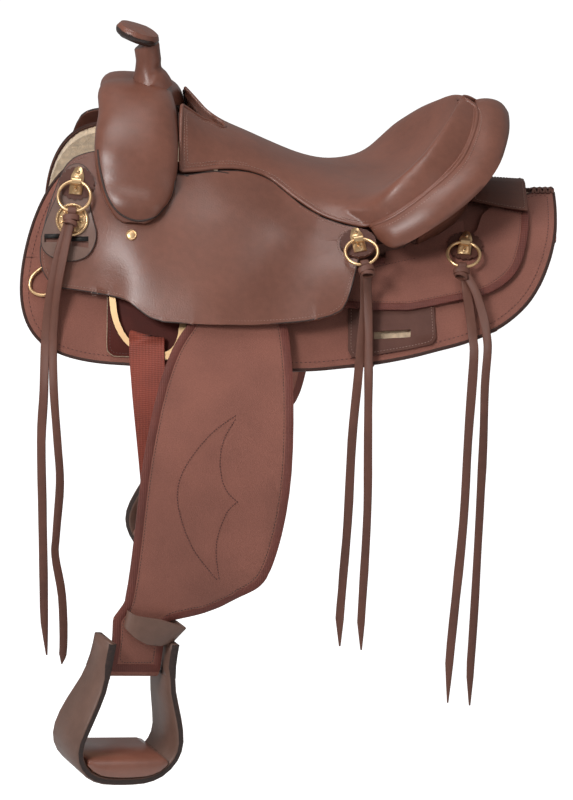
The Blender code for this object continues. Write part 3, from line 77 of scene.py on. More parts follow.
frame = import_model()
NODES = frame["nodes"]
JOINTS = {joint["name"]: joint for joint in frame["joints"]}
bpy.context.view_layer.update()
SIDES = {"L": "near", "R": "far"}
MIRROR = Matrix.Scale(-1, 4, (0, 1, 0))


# Settings

def colour_setting(name, description, value):
    return FloatVectorProperty(name=name, description=description, subtype="COLOR", size=3,
                               min=0, max=1, default=value)


def length_setting(name, description, value):
    return FloatProperty(name=name, description=description, subtype="DISTANCE", unit="LENGTH",
                         min=0, default=value, precision=4)


class SaddleColours(bpy.types.PropertyGroup):
    """Colours of the saddle's leathers, cloths and metal"""

    leather: colour_setting("Leather", "Smooth oiled leather", (0.190, 0.071, 0.046))
    cloth: colour_setting("Cloth", "Woven nylon of skirts and fenders", (0.305, 0.112, 0.079))
    binding: colour_setting("Binding", "Folded tape round the cloth", (0.155, 0.036, 0.024))
    dark_leather: colour_setting("Dark leather", "Keepers and billet patches",
                                 (0.112, 0.046, 0.034))
    rigging: colour_setting("Rigging leather", "Front rigging plates", (0.085, 0.018, 0.013))
    webbing: colour_setting("Webbing", "Tie straps", (0.265, 0.046, 0.024))
    fleece: colour_setting("Fleece", "Cream lining of the skirts", (0.870, 0.660, 0.450))
    brass: colour_setting("Brass", "Rings, dees and clips", (0.850, 0.560, 0.300))
    thread: colour_setting("Thread", "Stitches on the leather", (0.330, 0.185, 0.145))
    lace: colour_setting("Lace", "Edge stitches of the skirts", (0.100, 0.026, 0.020))


class SaddleSewing(bpy.types.PropertyGroup):
    """Sizes of the sewing and edges"""

    pitch: length_setting("Stitch pitch", "Distance from one stitch to the next", 0.0042)
    stitch: length_setting("Stitch length", "Length of a stitch", 0.0029)
    thread: length_setting("Thread radius", "Radius of the thread", 0.00045)
    binding: length_setting("Binding width", "Width of the folded tape", 0.0095)
    edge: length_setting("Painted edge", "Width of the dark edge of cut leather", 0.0016)


class SaddleStage(bpy.types.PropertyGroup):
    """Camera, lights and floor"""

    distance: length_setting("Camera distance", "From the camera to the saddle", 4.5)
    azimuth: FloatProperty(name="Azimuth", description="Camera's turn round the saddle",
                           subtype="ANGLE", unit="ROTATION", default=math.radians(1))
    elevation: FloatProperty(name="Elevation", description="Camera's height as an angle",
                             subtype="ANGLE", unit="ROTATION", default=math.radians(19.5))
    target: length_setting("Target depth", "How far below the seat the camera looks", 0.315)
    pixel: length_setting("Pixel size", "Width of a picture point at the saddle", 0.0014)
    floor: length_setting("Floor depth", "How far below the seat the floor lies", 1.12)


def colours():
    return bpy.context.scene.saddle_colours


def sewing():
    return bpy.context.scene.saddle_sewing


# Shader maths

class Term:
    """A socket or a number that adds Math nodes when it is used in an expression."""

    def __init__(self, shader, socket):
        self.shader = shader
        self.socket = socket

    def math(self, operation, *others):
        return self.shader.add("ShaderNodeMath", {"operation": operation},
                               dict(enumerate((self,) + others)))

    def __add__(self, other):
        return self.math("ADD", other)

    def __radd__(self, other):
        return self.math("ADD", other)

    def __sub__(self, other):
        return self.math("SUBTRACT", other)

    def __rsub__(self, other):
        return self.shader.add("ShaderNodeMath", {"operation": "SUBTRACT"}, {0: other, 1: self})

    def __mul__(self, other):
        return self.math("MULTIPLY", other)

    def __rmul__(self, other):
        return self.math("MULTIPLY", other)

    def __truediv__(self, other):
        return self.math("DIVIDE", other)

    def sine(self):
        return self.math("SINE")

    def above(self, limit):
        return self.math("GREATER_THAN", limit)

    def fade(self, low, high):
        return self.shader.add("ShaderNodeMapRange", {"interpolation_type": "SMOOTHSTEP"},
                               {"Value": self, "From Min": low, "From Max": high})


class Shader:
    """Principled material whose nodes are added by name."""

    def __init__(self, name, colour, roughness, metallic=0.0, sheen=0.0, coat=0.0):
        self.material = bpy.data.materials.new(name)
        self.material.use_nodes = True
        self.tree = self.material.node_tree
        self.surface = self.tree.nodes["Principled BSDF"]
        self.material.diffuse_color = (*colour, 1)
        self.set("Base Color", (*colour, 1))
        self.set("Roughness", roughness)
        self.set("Metallic", metallic)
        self.set("Sheen Weight", sheen)
        self.set("Coat Weight", coat)

    def plug(self, socket, value):
        if isinstance(value, Term):
            self.tree.links.new(value.socket, socket)
        else:
            socket.default_value = value

    def add(self, kind, settings=None, values=None, output=0):
        node = self.tree.nodes.new(kind)
        for key, value in (settings or {}).items():
            if key == "stops":
                for number, (place, tone) in enumerate(value):
                    stop = (node.color_ramp.elements[number] if number < 2
                            else node.color_ramp.elements.new(place))
                    stop.position = place
                    stop.color = (tone, tone, tone, 1)
            else:
                setattr(node, key, value)
        for key, value in (values or {}).items():
            self.plug(node.inputs[key], value)
        return Term(self, node.outputs[output])

    def set(self, name, value):
        self.plug(self.surface.inputs[name], value)

    def place(self, scale=(1, 1, 1), turn=(0, 0, 0)):
        here = self.add("ShaderNodeTexCoord", output="Object")
        return self.add("ShaderNodeMapping", None,
                        {"Vector": here, "Scale": scale, "Rotation": turn})

    def noise(self, place, scale, detail=2.0, roughness=0.5):
        return self.add("ShaderNodeTexNoise", None,
                        {"Vector": place, "Scale": scale, "Detail": detail,
                         "Roughness": roughness})

    def cells(self, place, scale, feature="F1"):
        return self.add("ShaderNodeTexVoronoi", {"feature": feature},
                        {"Vector": place, "Scale": scale})

    def field(self, name):
        return self.add("ShaderNodeAttribute", {"attribute_name": name}, None, "Fac")

    def mix(self, share, first, second):
        node = self.tree.nodes.new("ShaderNodeMix")
        node.data_type = "RGBA"
        self.plug(node.inputs["Factor"], share)
        self.plug(node.inputs[6], first)
        self.plug(node.inputs[7], second)
        return Term(self, node.outputs[2])

    def bump(self, height, distance, strength=1.0):
        normal = self.add("ShaderNodeBump", None,
                          {"Height": height, "Distance": distance, "Strength": strength})
        self.set("Normal", normal)


def shade(colour, share):
    """Colour made darker or lighter by a share."""
    return tuple(min(1.0, part * share) for part in colour) + (1,)


def leather(name, colour, gloss=0.36, coat=0.14, worn=1.18, shine=0.5):
    shader = Shader(name, colour, gloss, coat=coat)
    shader.set("Specular IOR Level", shine)
    shader.surface.inputs["Coat Roughness"].default_value = 0.32
    place = shader.place()
    broad = shader.noise(place, 9.0, 3.0)
    fine = shader.noise(place, 95.0, 4.0, 0.6)
    pores = shader.cells(place, 720.0)
    creases = shader.cells(place, 210.0, "DISTANCE_TO_EDGE").fade(0.0, 0.16)
    tone = broad.fade(0.30, 0.72) * 0.62 + fine.fade(0.25, 0.78) * 0.38
    shader.set("Base Color", shader.mix(tone, shade(colour, 0.80), shade(colour, worn)))
    shader.set("Roughness", gloss - 0.07 + fine * 0.09 + broad * 0.06)
    shader.bump(pores * 0.6 + creases * 0.35 + fine * 0.9, 0.00022, 0.55)
    return shader.material


def cloth(name, colour, pitch=0.0017):
    """Coarse plain weave that follows the panel's own cloth field."""
    shader = Shader(name, colour, 0.80, sheen=0.06)
    place = shader.place()
    across = shader.field("cloth_u") * (math.pi / pitch)
    along = shader.field("cloth_v") * (math.pi / pitch)
    over = (across.sine() * along.sine()).above(0.0)
    warp = (across * 2.0).sine().math("ABSOLUTE")
    weft = (along * 2.0).sine().math("ABSOLUTE")
    thread = over * warp + (1 - over) * weft
    blotch = shader.noise(place, 14.0, 3.0).fade(0.28, 0.75)
    fleck = shader.noise(place, 620.0, 2.0, 0.7).fade(0.30, 0.72)
    tone = thread * 0.40 + fleck * 0.30 + blotch * 0.30
    shader.set("Base Color", shader.mix(tone, shade(colour, 0.66), shade(colour, 1.32)))
    shader.set("Roughness", 0.86 - thread * 0.14)
    shader.bump(thread * 0.8 + fleck * 0.5, 0.00045, 0.8)
    return shader.material


def tape(name, colour, pitch=0.0021):
    """Ribbed nylon tape."""
    shader = Shader(name, colour, 0.66, sheen=0.04)
    place = shader.place()
    parts = shader.add("ShaderNodeSeparateXYZ", None, {"Vector": place}, "Z")
    sideways = shader.add("ShaderNodeSeparateXYZ", None, {"Vector": place}, "X")
    rib = (parts * (2 * math.pi / pitch)).sine() * 0.5 + 0.5
    row = (sideways * (2 * math.pi / (pitch * 1.6))).sine() * 0.5 + 0.5
    worn = shader.noise(place, 30.0, 3.0).fade(0.3, 0.75)
    shader.set("Base Color", shader.mix(rib * 0.45 + row * 0.25 + worn * 0.30,
                                        shade(colour, 0.62), shade(colour, 1.32)))
    shader.set("Roughness", 0.70 - rib * 0.14)
    shader.bump(rib * 0.7 + row * 0.5, 0.0005, 0.8)
    return shader.material


def fleece(name, colour):
    shader = Shader(name, colour, 0.92, sheen=0.4)
    place = shader.place()
    tufts = shader.cells(place, 120.0, "SMOOTH_F1")
    curls = shader.noise(place, 420.0, 4.0, 0.65)
    tone = (1 - tufts) * 0.55 + curls * 0.45
    shader.set("Base Color", shader.mix(tone.fade(0.2, 0.85), shade(colour, 0.66),
                                        shade(colour, 1.12)))
    shader.bump((1 - tufts) * 0.8 + curls, 0.0022, 0.9)
    return shader.material


def metal(name, colour, gloss=0.26):
    shader = Shader(name, colour, gloss, metallic=0.86)
    place = shader.place()
    rub = shader.noise(place, 60.0, 2.0).fade(0.25, 0.78)
    dull = shader.noise(place, 24.0, 2.0).fade(0.3, 0.7)
    shader.set("Base Color", shader.mix(dull * 0.6 + rub * 0.4, shade(colour, 0.90),
                                        shade(colour, 1.04)))
    shader.set("Roughness", gloss + rub * 0.05 + dull * 0.03)
    shader.bump(rub, 0.00003, 0.2)
    return shader.material


def thread(name, colour):
    shader = Shader(name, colour, 0.58, sheen=0.2)
    place = shader.place()
    twist = shader.noise(place, 900.0, 2.0).fade(0.25, 0.75)
    shader.set("Base Color", shader.mix(twist, shade(colour, 0.7), shade(colour, 1.25)))
    shader.bump(twist, 0.0001, 0.5)
    return shader.material


def matt_edge(name, colour):
    shader = Shader(name, colour, 0.55)
    place = shader.place()
    layers = shader.noise(place, 300.0, 3.0, 0.7).fade(0.25, 0.75)
    shader.set("Base Color", shader.mix(layers, shade(colour, 0.6), shade(colour, 1.35)))
    shader.set("Roughness", 0.50 + layers * 0.15)
    shader.bump(layers, 0.00025, 0.6)
    return shader.material


FINISHES = {}


def finish_named(name):
    return FINISHES[name]


def make_finishes():
    tints = colours()
    FINISHES["leather"] = leather("Oiled leather", tints.leather)
    FINISHES["seat"] = leather("Seat leather", shade(tints.leather, 1.08)[:3], 0.40, 0.16)
    FINISHES["dark"] = leather("Dark leather", tints.dark_leather, 0.52, 0.0, 1.18, 0.22)
    FINISHES["keeper"] = leather("Keeper leather", (0.170, 0.092, 0.068), 0.46, 0.05)
    FINISHES["rim"] = leather("Dark rim", (0.050, 0.022, 0.017), 0.50, 0.0, 1.18, 0.2)
    FINISHES["lip"] = leather("Horn lip", (0.030, 0.016, 0.013), 0.26, 0.30)
    FINISHES["rigging"] = leather("Rigging leather", tints.rigging, 0.56, 0.0, 1.18, 0.12)
    FINISHES["thong"] = leather("Latigo thong", shade(tints.leather, 0.74)[:3], 0.58, 0.0)
    # The tread's colour is the leather lightened 1.6 times: a painted reflection of the bright
    # studio on its glossy top.
    FINISHES["tread"] = leather("Padded tread", shade(tints.leather, 1.6)[:3], 0.20, 0.90, 1.05)
    FINISHES["cloth"] = cloth("Woven nylon", tints.cloth)
    FINISHES["binding"] = tape("Bound edge", tints.binding, 0.0016)
    FINISHES["webbing"] = tape("Nylon webbing", tints.webbing, 0.0026)
    FINISHES["fleece"] = fleece("Fleece lining", tints.fleece)
    FINISHES["brass"] = metal("Polished brass", tints.brass)
    FINISHES["dull_brass"] = metal("Dull brass", shade(tints.brass, 0.72)[:3], 0.42)
    FINISHES["steel"] = metal("Plain steel", (0.52, 0.52, 0.54), 0.34)
    FINISHES["tree"] = matt_edge("Tree covering", (0.120, 0.052, 0.038))
    FINISHES["edge"] = matt_edge("Burnished edge", (0.038, 0.020, 0.016))
    FINISHES["cut"] = matt_edge("Pale cut edge", (0.42, 0.30, 0.20))
    FINISHES["thread"] = thread("Brown thread", tints.thread)
    FINISHES["lace"] = thread("Dark red thread", tints.lace)
    FINISHES["black"] = thread("Black thread", (0.020, 0.014, 0.012))
    # Near-black finish for painted shade inside slots.
    FINISHES["shadow"] = matt_edge("Painted slot shade", (0.014, 0.010, 0.009))


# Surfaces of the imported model

CACHE = {}


def merged(node):
    bm = bmesh.new()
    bm.from_mesh(NODES[node].data)
    bmesh.ops.remove_doubles(bm, verts=bm.verts, dist=2e-5)
    bm.normal_update()
    return bm


def skin_tree(node):
    """Search tree of a node's surface."""
    if node not in CACHE:
        bm = merged(node)
        CACHE[node] = BVHTree.FromBMesh(bm)
        bm.free()
    return CACHE[node]


def photo_camera():
    """Place and axes of the camera: right, up and back."""
    stage = bpy.context.scene.saddle_stage
    turn, rise = stage.azimuth, stage.elevation
    back = Vector((math.sin(turn) * math.cos(rise), -math.cos(turn) * math.cos(rise),
                   math.sin(rise)))
    right = Vector((math.cos(turn), math.sin(turn), 0))
    up = back.cross(right)
    place = Vector((0, 0, -stage.target)) + back * stage.distance
    return place, right, up, back


def sight(u, v):
    """Line of sight through a point of the 573 x 800 picture."""
    stage = bpy.context.scene.saddle_stage
    place, right, up, back = photo_camera()
    reach = stage.distance / stage.pixel
    way = (right * (u - 286.5) - up * (v - 400.0)) / reach - back
    return place, way.normalized()


def picture_point(place):
    """Point of the picture where a place is seen."""
    stage = bpy.context.scene.saddle_stage
    origin, right, up, back = photo_camera()
    away = place - origin
    depth = -away.dot(back)
    reach = stage.distance / stage.pixel
    return 286.5 + reach * away.dot(right) / depth, 400.0 - reach * away.dot(up) / depth


def seen_on(u, v, *nodes):
    """Nearest place and normal on the nodes along a line of sight."""
    origin, way = sight(u, v)
    best = None
    for node in nodes:
        place, normal, _, distance = skin_tree(node).ray_cast(origin, way)
        if place is not None and (best is None or distance < best[2]):
            best = (place, normal, distance)
    if best is None:
        near = []
        for node in nodes:
            for k in range(60):
                probe = origin + way * (3.9 + k * 0.02)
                place, normal, _, distance = skin_tree(node).find_nearest(probe)
                near.append((distance, tuple(place), tuple(normal)))
        _, place, normal = min(near)
        best = (Vector(place), Vector(normal), 0)
    place, normal = best[0], best[1]
    if normal.dot(way) > 0:
        normal = -normal
    return place, normal


def rounded(points, steps=6, closed=False):
    """Points of a smooth line through the given ones."""
    points = [Vector(point) for point in points]
    number = len(points)
    line = []
    spans = number if closed else number - 1
    for i in range(spans):
        if closed:
            a, b, c, d = (points[(i + k) % number] for k in (-1, 0, 1, 2))
        else:
            b, c = points[i], points[i + 1]
            a = points[i - 1] if i else b * 2 - c
            d = points[i + 2] if i + 2 < number else c * 2 - b
        for k in range(steps):
            t = k / steps
            line.append(0.5 * ((2 * b) + (c - a) * t + (2 * a - 5 * b + 4 * c - d) * t * t
                               + (3 * b - a - 3 * c + d) * t ** 3))
    if not closed:
        line.append(points[-1])
    return line


def even(line, pitch, closed=False):
    """The same line with its (place, normal) pairs a fixed distance apart."""
    if closed:
        line = line + line[:1]
    total = sum((b[0] - a[0]).length for a, b in zip(line, line[1:]))
    number = max(2, round(total / pitch))
    step = total / number
    result = []
    walked, wanted = 0.0, 0.0
    for (a, na), (b, nb) in zip(line, line[1:]):
        length = (b - a).length
        while length > 0 and wanted <= walked + length + 1e-9 and len(result) < number:
            share = (wanted - walked) / length
            result.append((a.lerp(b, share), na.lerp(nb, share).normalized()))
            wanted += step
        walked += length
    if not closed:
        result.append(line[-1])
    return result


def drawn(points, nodes, pitch=0.004, smooth_line=True):
    """Line over the nodes' surface through points of the picture."""
    flat = [(u, v, 0) for u, v in points]
    flat = rounded(flat, 8) if smooth_line else [Vector(p) for p in flat]
    line = [seen_on(point.x, point.y, *nodes) for point in flat]
    calm = []
    for i, (place, normal) in enumerate(line):
        near = line[max(0, i - 2):i + 3]
        calm.append((sum((p for p, _ in near), Vector()) / len(near),
                     sum((n for _, n in near), Vector()).normalized()))
    calm[0] = (line[0][0], calm[0][1])
    calm[-1] = (line[-1][0], calm[-1][1])
    return even(calm, pitch)


def sheets(node, limit=48):
    """A node's smooth sheets as lists of faces, largest first, with their bmesh."""
    bm = merged(node)
    left = set(bm.faces)
    groups = []
    sharp = math.radians(limit)
    while left:
        start = left.pop()
        group, edge_faces = [start], [start]
        while edge_faces:
            face = edge_faces.pop()
            for edge in face.edges:
                if len(edge.link_faces) != 2 or edge.calc_face_angle(0) > sharp:
                    continue
                for other in edge.link_faces:
                    if other in left:
                        left.discard(other)
                        group.append(other)
                        edge_faces.append(other)
        groups.append(group)
    groups.sort(key=lambda faces: -sum(face.calc_area() for face in faces))
    return bm, groups


def rim(node, outward=None, limit=48, which=0, loop=0):
    """Closed line of (place, normal) round the edge of a sheet of a node."""
    bm, groups = sheets(node, limit)
    choices = groups[:2]
    if outward is not None:
        def facing(faces):
            return -sum((f.normal * f.calc_area() for f in faces), Vector()).dot(outward)
        choices = sorted(choices, key=facing)
    faces = set(choices[which])
    edges = {}
    for face in faces:
        for edge in face.edges:
            if sum(other in faces for other in edge.link_faces) == 1:
                for vert in edge.verts:
                    edges.setdefault(vert, []).append(edge)
    loops = []
    seen = set()
    for start in edges:
        if start in seen:
            continue
        chain, vert, edge = [start], start, edges[start][0]
        seen.add(start)
        while True:
            vert = edge.other_vert(vert)
            if vert is start or vert in seen:
                break
            seen.add(vert)
            chain.append(vert)
            edge = next((e for e in edges[vert] if e is not edge), edge)
        loops.append(chain)
    def length(chain):
        return sum((a.co - b.co).length for a, b in zip(chain, chain[1:] + chain[:1]))
    loops.sort(key=lambda chain: -length(chain))
    line = []
    for vert in loops[loop]:
        normal = sum((f.normal * f.calc_area() for f in vert.link_faces if f in faces), Vector())
        line.append((vert.co.copy(), normal.normalized()))
    bm.free()
    return line


def softened(line):
    """Closed line with curved spans where it turns gently."""
    number = len(line)
    result = []
    for i in range(number):
        a, b, c, d = (line[(i + k) % number] for k in (-1, 0, 1, 2))
        result.append(b)
        span = c[0] - b[0]
        gentle = all(first.length > 1e-6 and second.length > 1e-6
                     and first.angle(second) < math.radians(38)
                     for first, second in ((b[0] - a[0], span), (span, d[0] - c[0])))
        if gentle and span.length > 0.005:
            for t in (0.25, 0.5, 0.75):
                place = 0.5 * ((2 * b[0]) + (c[0] - a[0]) * t
                               + (2 * a[0] - 5 * b[0] + 4 * c[0] - d[0]) * t * t
                               + (3 * b[0] - a[0] - 3 * c[0] + d[0]) * t ** 3)
                result.append((place, b[1].lerp(c[1], t).normalized()))
    return result


def calmed(line, reach=6):
    """Evenly spaced closed line and the same line with its slight corners rounded off."""
    points = even(line, 0.005, closed=True)
    number = len(points)
    corners = [i for i in range(number)
               if (points[i][0] - points[i - 2][0]).angle(
                   points[(i + 2) % number][0] - points[i][0]) > math.radians(36)]
    calm = []
    for i, (place, normal) in enumerate(points):
        room = min([min((i - k) % number, (k - i) % number) for k in corners] or [reach])
        span = min(reach, room)
        total, weight = Vector(), 0
        for k in range(-span, span + 1):
            share = span + 1 - abs(k)
            total += points[(i + k) % number][0] * share
            weight += share
        calm.append((total / weight, normal))
    return points, calm


def pulled(points, calm, reach=0.045):
    """Shape that carries a panel's edge from one line to the other."""
    tree = KDTree(len(points))
    for i, (place, _) in enumerate(points):
        tree.insert(place, i)
    tree.balance()

    def shape(place):
        _, i, away = tree.find(place)
        share = max(0.0, 1 - away / reach)
        return place + (calm[i][0] - points[i][0]) * share * share * (3 - 2 * share)
    return shape


def inward(line):
    """Directions that point into a closed line's sheet."""
    number = len(line)
    ways = []
    for i, (_, normal) in enumerate(line):
        run = line[(i + 1) % number][0] - line[i - 1][0]
        ways.append(normal.cross(run).normalized())
    middle = sum((place for place, _ in line), Vector()) / number
    votes = sum(1 if way.dot(middle - place) > 0 else -1
                for way, (place, _) in zip(ways, line))
    return ways if votes > 0 else [-way for way in ways]


def inset_rim(line, depth, node, pitch=0.004):
    """Closed line a fixed distance inside a rim, on the node's surface."""
    even_line = even(softened(line), 0.006, closed=True)
    ways = inward(even_line)
    moved = [(place + way * depth, normal) for (place, normal), way in zip(even_line, ways)]
    number = len(moved)
    kept = []
    for i, (place, normal) in enumerate(moved):
        nearest = min((place - other).length for other, _ in even_line)
        if nearest > depth * 0.86:
            kept.append((place, normal))
    calm = []
    number = len(kept)
    for i in range(number):
        near = [kept[(i + k) % number] for k in (-1, 0, 1)]
        calm.append((sum((p for p, _ in near), Vector()) / 3,
                     sum((n for _, n in near), Vector()).normalized()))
    tree = skin_tree(node)
    result = []
    for place, normal in even(calm, pitch, closed=True):
        down, real, _, _ = tree.ray_cast(place + normal * 0.012, -normal, 0.030)
        result.append((down if down is not None else place, normal))
    return result


# Pieces

def add_piece(name, bm, finish, body, slot, crease_angle=None):
    mesh = bpy.data.meshes.new(name)
    bm.normal_update()
    bm.to_mesh(mesh)
    bm.free()
    for face in mesh.polygons:
        face.use_smooth = True
    if crease_angle is not None:
        mesh.set_sharp_from_angle(angle=math.radians(crease_angle))
    mesh.materials.append(finish_named(finish))
    piece = bpy.data.objects.new(name, mesh)
    bpy.context.scene.collection.objects.link(piece)
    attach(piece, body)
    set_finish(piece, slot)
    return piece


def twin(piece, name, body, extra=None):
    """Mirrored copy of a near piece for the far side."""
    bm = bmesh.new()
    bm.from_mesh(piece.data)
    bmesh.ops.transform(bm, matrix=MIRROR, verts=bm.verts)
    bmesh.ops.reverse_faces(bm, faces=bm.faces)
    if extra is not None:
        bmesh.ops.transform(bm, matrix=extra, verts=bm.verts)
    mesh = bpy.data.meshes.new(name)
    bm.to_mesh(mesh)
    bm.free()
    for material in piece.data.materials:
        mesh.materials.append(material)
    copy = bpy.data.objects.new(name, mesh)
    bpy.context.scene.collection.objects.link(copy)
    for modifier in piece.modifiers:
        same = copy.modifiers.new(modifier.name, modifier.type)
        for key in ("levels", "render_levels", "width", "segments", "limit_method",
                    "angle_limit", "use_clamp_overlap"):
            if hasattr(modifier, key):
                setattr(same, key, getattr(modifier, key))
    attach(copy, body)
    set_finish(copy, piece["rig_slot"])
    return copy


def far_body(body):
    return body.replace("near_", "far_")


def both(piece, extra=None):
    """A near piece and its mirrored one."""
    return piece, twin(piece, piece.name.replace("near_", "far_"), far_body(piece["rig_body"]),
                       extra)


def sweep(bm, sections, closed=False):
    """Skin along a line: each section is a ring of points, joined to the next."""
    row = [bm.verts.new(point) for point in sections[0]]
    number = len(row)
    first = [bm.edges.new((row[i], row[(i + 1) % number])) for i in range(number)]
    front = first
    for section in sections[1:]:
        made = set(bmesh.ops.extrude_edge_only(bm, edges=front)["geom"])
        row = [next(edge.other_vert(vert) for edge in vert.link_edges
                    if edge.other_vert(vert) in made) for vert in row]
        for vert, point in zip(row, section):
            vert.co = point
        front = [bm.edges.get((row[i], row[(i + 1) % number])) for i in range(number)]
    if closed:
        bmesh.ops.bridge_loops(bm, edges=front + first)
    else:
        bmesh.ops.holes_fill(bm, edges=first)
        bmesh.ops.holes_fill(bm, edges=front)
    bmesh.ops.recalc_face_normals(bm, faces=bm.faces)


def axes(places, i, closed=False):
    """Run, side and up of a line of (place, normal) at one of its places."""
    number = len(places)
    after = places[(i + 1) % number] if closed or i + 1 < number else places[i]
    before = places[i - 1] if closed or i else places[i]
    run = (after[0] - before[0]).normalized()
    side = places[i][1].cross(run).normalized()
    return run, side, run.cross(side)


def stitches(name, lines, finish, body, slot, pitch=None, length=None, radius=None,
             closed=False):
    """Rows of stitches that lie on a surface."""
    kit = sewing()
    pitch = pitch or kit.pitch
    length = length or kit.stitch
    radius = radius or kit.thread
    bm = bmesh.new()
    for line in lines:
        places = even(line, pitch, closed)
        for i, (place, normal) in enumerate(places):
            run, side, up = axes(places, i, closed)
            about = places[min(i + 3, len(places) - 1)][0] - places[max(i - 3, 0)][0]
            if about.length > pitch and run.angle(about) > math.radians(50):
                continue
            frame_here = Matrix((side * radius, up * radius, run * length / 2)).transposed()
            spot = Matrix.Translation(place + normal * radius * 0.4) @ frame_here.to_4x4()
            bmesh.ops.create_uvsphere(bm, u_segments=6, v_segments=4, radius=1, matrix=spot)
    return add_piece(name, bm, finish, body, slot)


def parted(line, keep):
    """Stretches of a closed line whose places pass a test."""
    flags = [keep(place) for place, _ in line]
    if all(flags):
        return [line + line[:1]]
    start = flags.index(False)
    turned = line[start:] + line[:start]
    flags = flags[start:] + flags[:start]
    stretches, now = [], []
    for item, flag in zip(turned, flags):
        if flag:
            now.append(item)
        elif now:
            stretches.append(now)
            now = []
    if now:
        stretches.append(now)
    return [stretch for stretch in stretches if len(stretch) > 4]


def binding(name, node, finish, body, slot, width, height, thick, outward, pitch=0.006,
            loop=0, limit=48, only=None, line=None):
    """Folded edge round a panel, over both of its faces."""
    line = even(line or softened(rim(node, outward, limit, 0, loop)), pitch, closed=True)
    ways = inward(line)
    number = len(line)
    sections = []
    for i, (place, normal) in enumerate(line):
        way = (ways[i - 1] + ways[i] * 2 + ways[(i + 1) % number]).normalized()
        out = height * 0.9
        sections.append([
            place + way * width + normal * 0.0001,
            place + way * width * 0.88 + normal * height,
            place + way * width * 0.25 + normal * height,
            place - way * out * 0.6 + normal * height * 0.4,
            place - way * out - normal * thick / 2,
            place - way * out * 0.6 - normal * (thick + height * 0.4),
            place + way * width * 0.25 - normal * (thick + height),
            place + way * width * 0.88 - normal * (thick + height),
            place + way * width - normal * (thick + 0.0001)])
    bm = bmesh.new()
    if only is None:
        sweep(bm, sections, closed=True)
    else:
        marked = [(section[4], section) for section in sections]
        for stretch in parted(marked, only):
            sweep(bm, [section for _, section in stretch])
    return add_piece(name, bm, finish, body, slot, 50)


def cord_round(name, line, radius, finish, body, slot, sides=6, lift=0.3, closed=False):
    """Round welt or piping along a line on a surface."""
    sections = []
    for i, (place, normal) in enumerate(line):
        run, side, up = axes(line, i, closed)
        middle = place + normal * radius * lift
        sections.append([middle + side * math.cos(a) * radius + up * math.sin(a) * radius
                         for a in (2 * math.pi * k / sides for k in range(sides))])
    bm = bmesh.new()
    sweep(bm, sections, closed)
    return add_piece(name, bm, finish, body, slot)


def refined(bm, levels):
    """Catmull-Clark subdivision that still passes through the form's own points."""
    crease = bm.edges.layers.float.new("crease_edge")
    for edge in bm.edges:
        if len(edge.link_faces) != 2 or edge.calc_face_angle(0) > math.radians(38):
            edge[crease] = 1.0
    mesh = bpy.data.meshes.new("rough")
    bm.to_mesh(mesh)
    bm.free()
    rough = bpy.data.objects.new("rough", mesh)
    bpy.context.scene.collection.objects.link(rough)
    finer = rough.modifiers.new("finer", "SUBSURF")
    finer.levels = levels
    finer.render_levels = levels
    wanted = [vert.co.copy() for vert in mesh.vertices]
    for step in range(4):
        bpy.context.view_layer.update()
        fine = bmesh.new()
        fine.from_object(rough, bpy.context.evaluated_depsgraph_get())
        if step == 3:
            break
        fine.verts.ensure_lookup_table()
        for i, place in enumerate(wanted):
            mesh.vertices[i].co += (place - fine.verts[i].co) * 0.9
        mesh.update()
        fine.free()
    bpy.data.objects.remove(rough)
    bpy.data.meshes.remove(mesh)
    return fine


def cloth_fields(mesh, hanging):
    """Where each point lies across and along the cloth."""
    across = mesh.attributes.new("cloth_u", "FLOAT", "POINT")
    along = mesh.attributes.new("cloth_v", "FLOAT", "POINT")
    for vert in mesh.vertices:
        x, y, z = vert.co
        across.data[vert.index].value = x
        turn = math.atan2(abs(y), z + 0.28) * 0.30
        along.data[vert.index].value = -z * 1.12 if hanging else turn


def dress(node, finish, slot, body, sharp=38, levels=0, bevel=0.0, form=None, hanging=False,
          shape=None):
    """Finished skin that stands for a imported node."""
    bm = merged(node)
    if levels:
        bmesh.ops.join_triangles(bm, faces=bm.faces, angle_face_threshold=0.5,
                                 angle_shape_threshold=1.2)
        bm = refined(bm, levels)
    if form is not None:
        bm.normal_update()
        moves = [form(vert.co, vert.normal) for vert in bm.verts]
        for vert, move in zip(bm.verts, moves):
            vert.co += vert.normal * move
    if shape is not None:
        for vert in bm.verts:
            vert.co = shape(vert.co)
    piece = add_piece(node + "_skin", bm, finish, body, slot, sharp)
    cloth_fields(piece.data, hanging)
    if bevel:
        edge = piece.modifiers.new("edge", "BEVEL")
        edge.width = bevel
        edge.segments = 2
        edge.limit_method = "ANGLE"
        edge.angle_limit = math.radians(50)
        edge.use_clamp_overlap = True
    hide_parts(node)
    return piece


def facing_part(name, piece, axis, low, high, finish, body, slot, grow=0.0004):
    """Thin skin over the faces of a piece whose normals lie in a range along an axis."""
    bm = bmesh.new()
    bm.from_mesh(piece.data)
    bm.normal_update()
    for vert in bm.verts:
        vert.co += vert.normal * grow
    rest = [face for face in bm.faces if not low <= face.normal.dot(axis) <= high]
    bmesh.ops.delete(bm, geom=rest, context="FACES")
    bmesh.ops.solidify(bm, geom=list(bm.faces), thickness=grow * 1.5)
    return add_piece(name, bm, finish, body, slot, 50)


def ripple(place, scale, seed=0.0):
    """Smooth noise from about -1 to 1."""
    return noise.noise(place * scale + Vector((seed, seed * 0.7, -seed)))


def swelling(marks):
    """Soft rises and hollows: (place, reach, rise) of each."""
    def rise(place):
        total = 0.0
        for middle, reach, height in marks:
            away = Vector((place.x, abs(place.y), place.z)) - middle
            total += height * math.exp(-away.length_squared / (2 * reach * reach))
        return total
    return rise


def near_marks(node, points):
    """Marks on a node from points of the picture, kept for both sides."""
    marks = []
    for u, v, reach, height in points:
        place, _ = seen_on(u, v, node)
        marks.append((Vector((place.x, abs(place.y), place.z)), reach, height))
    return marks


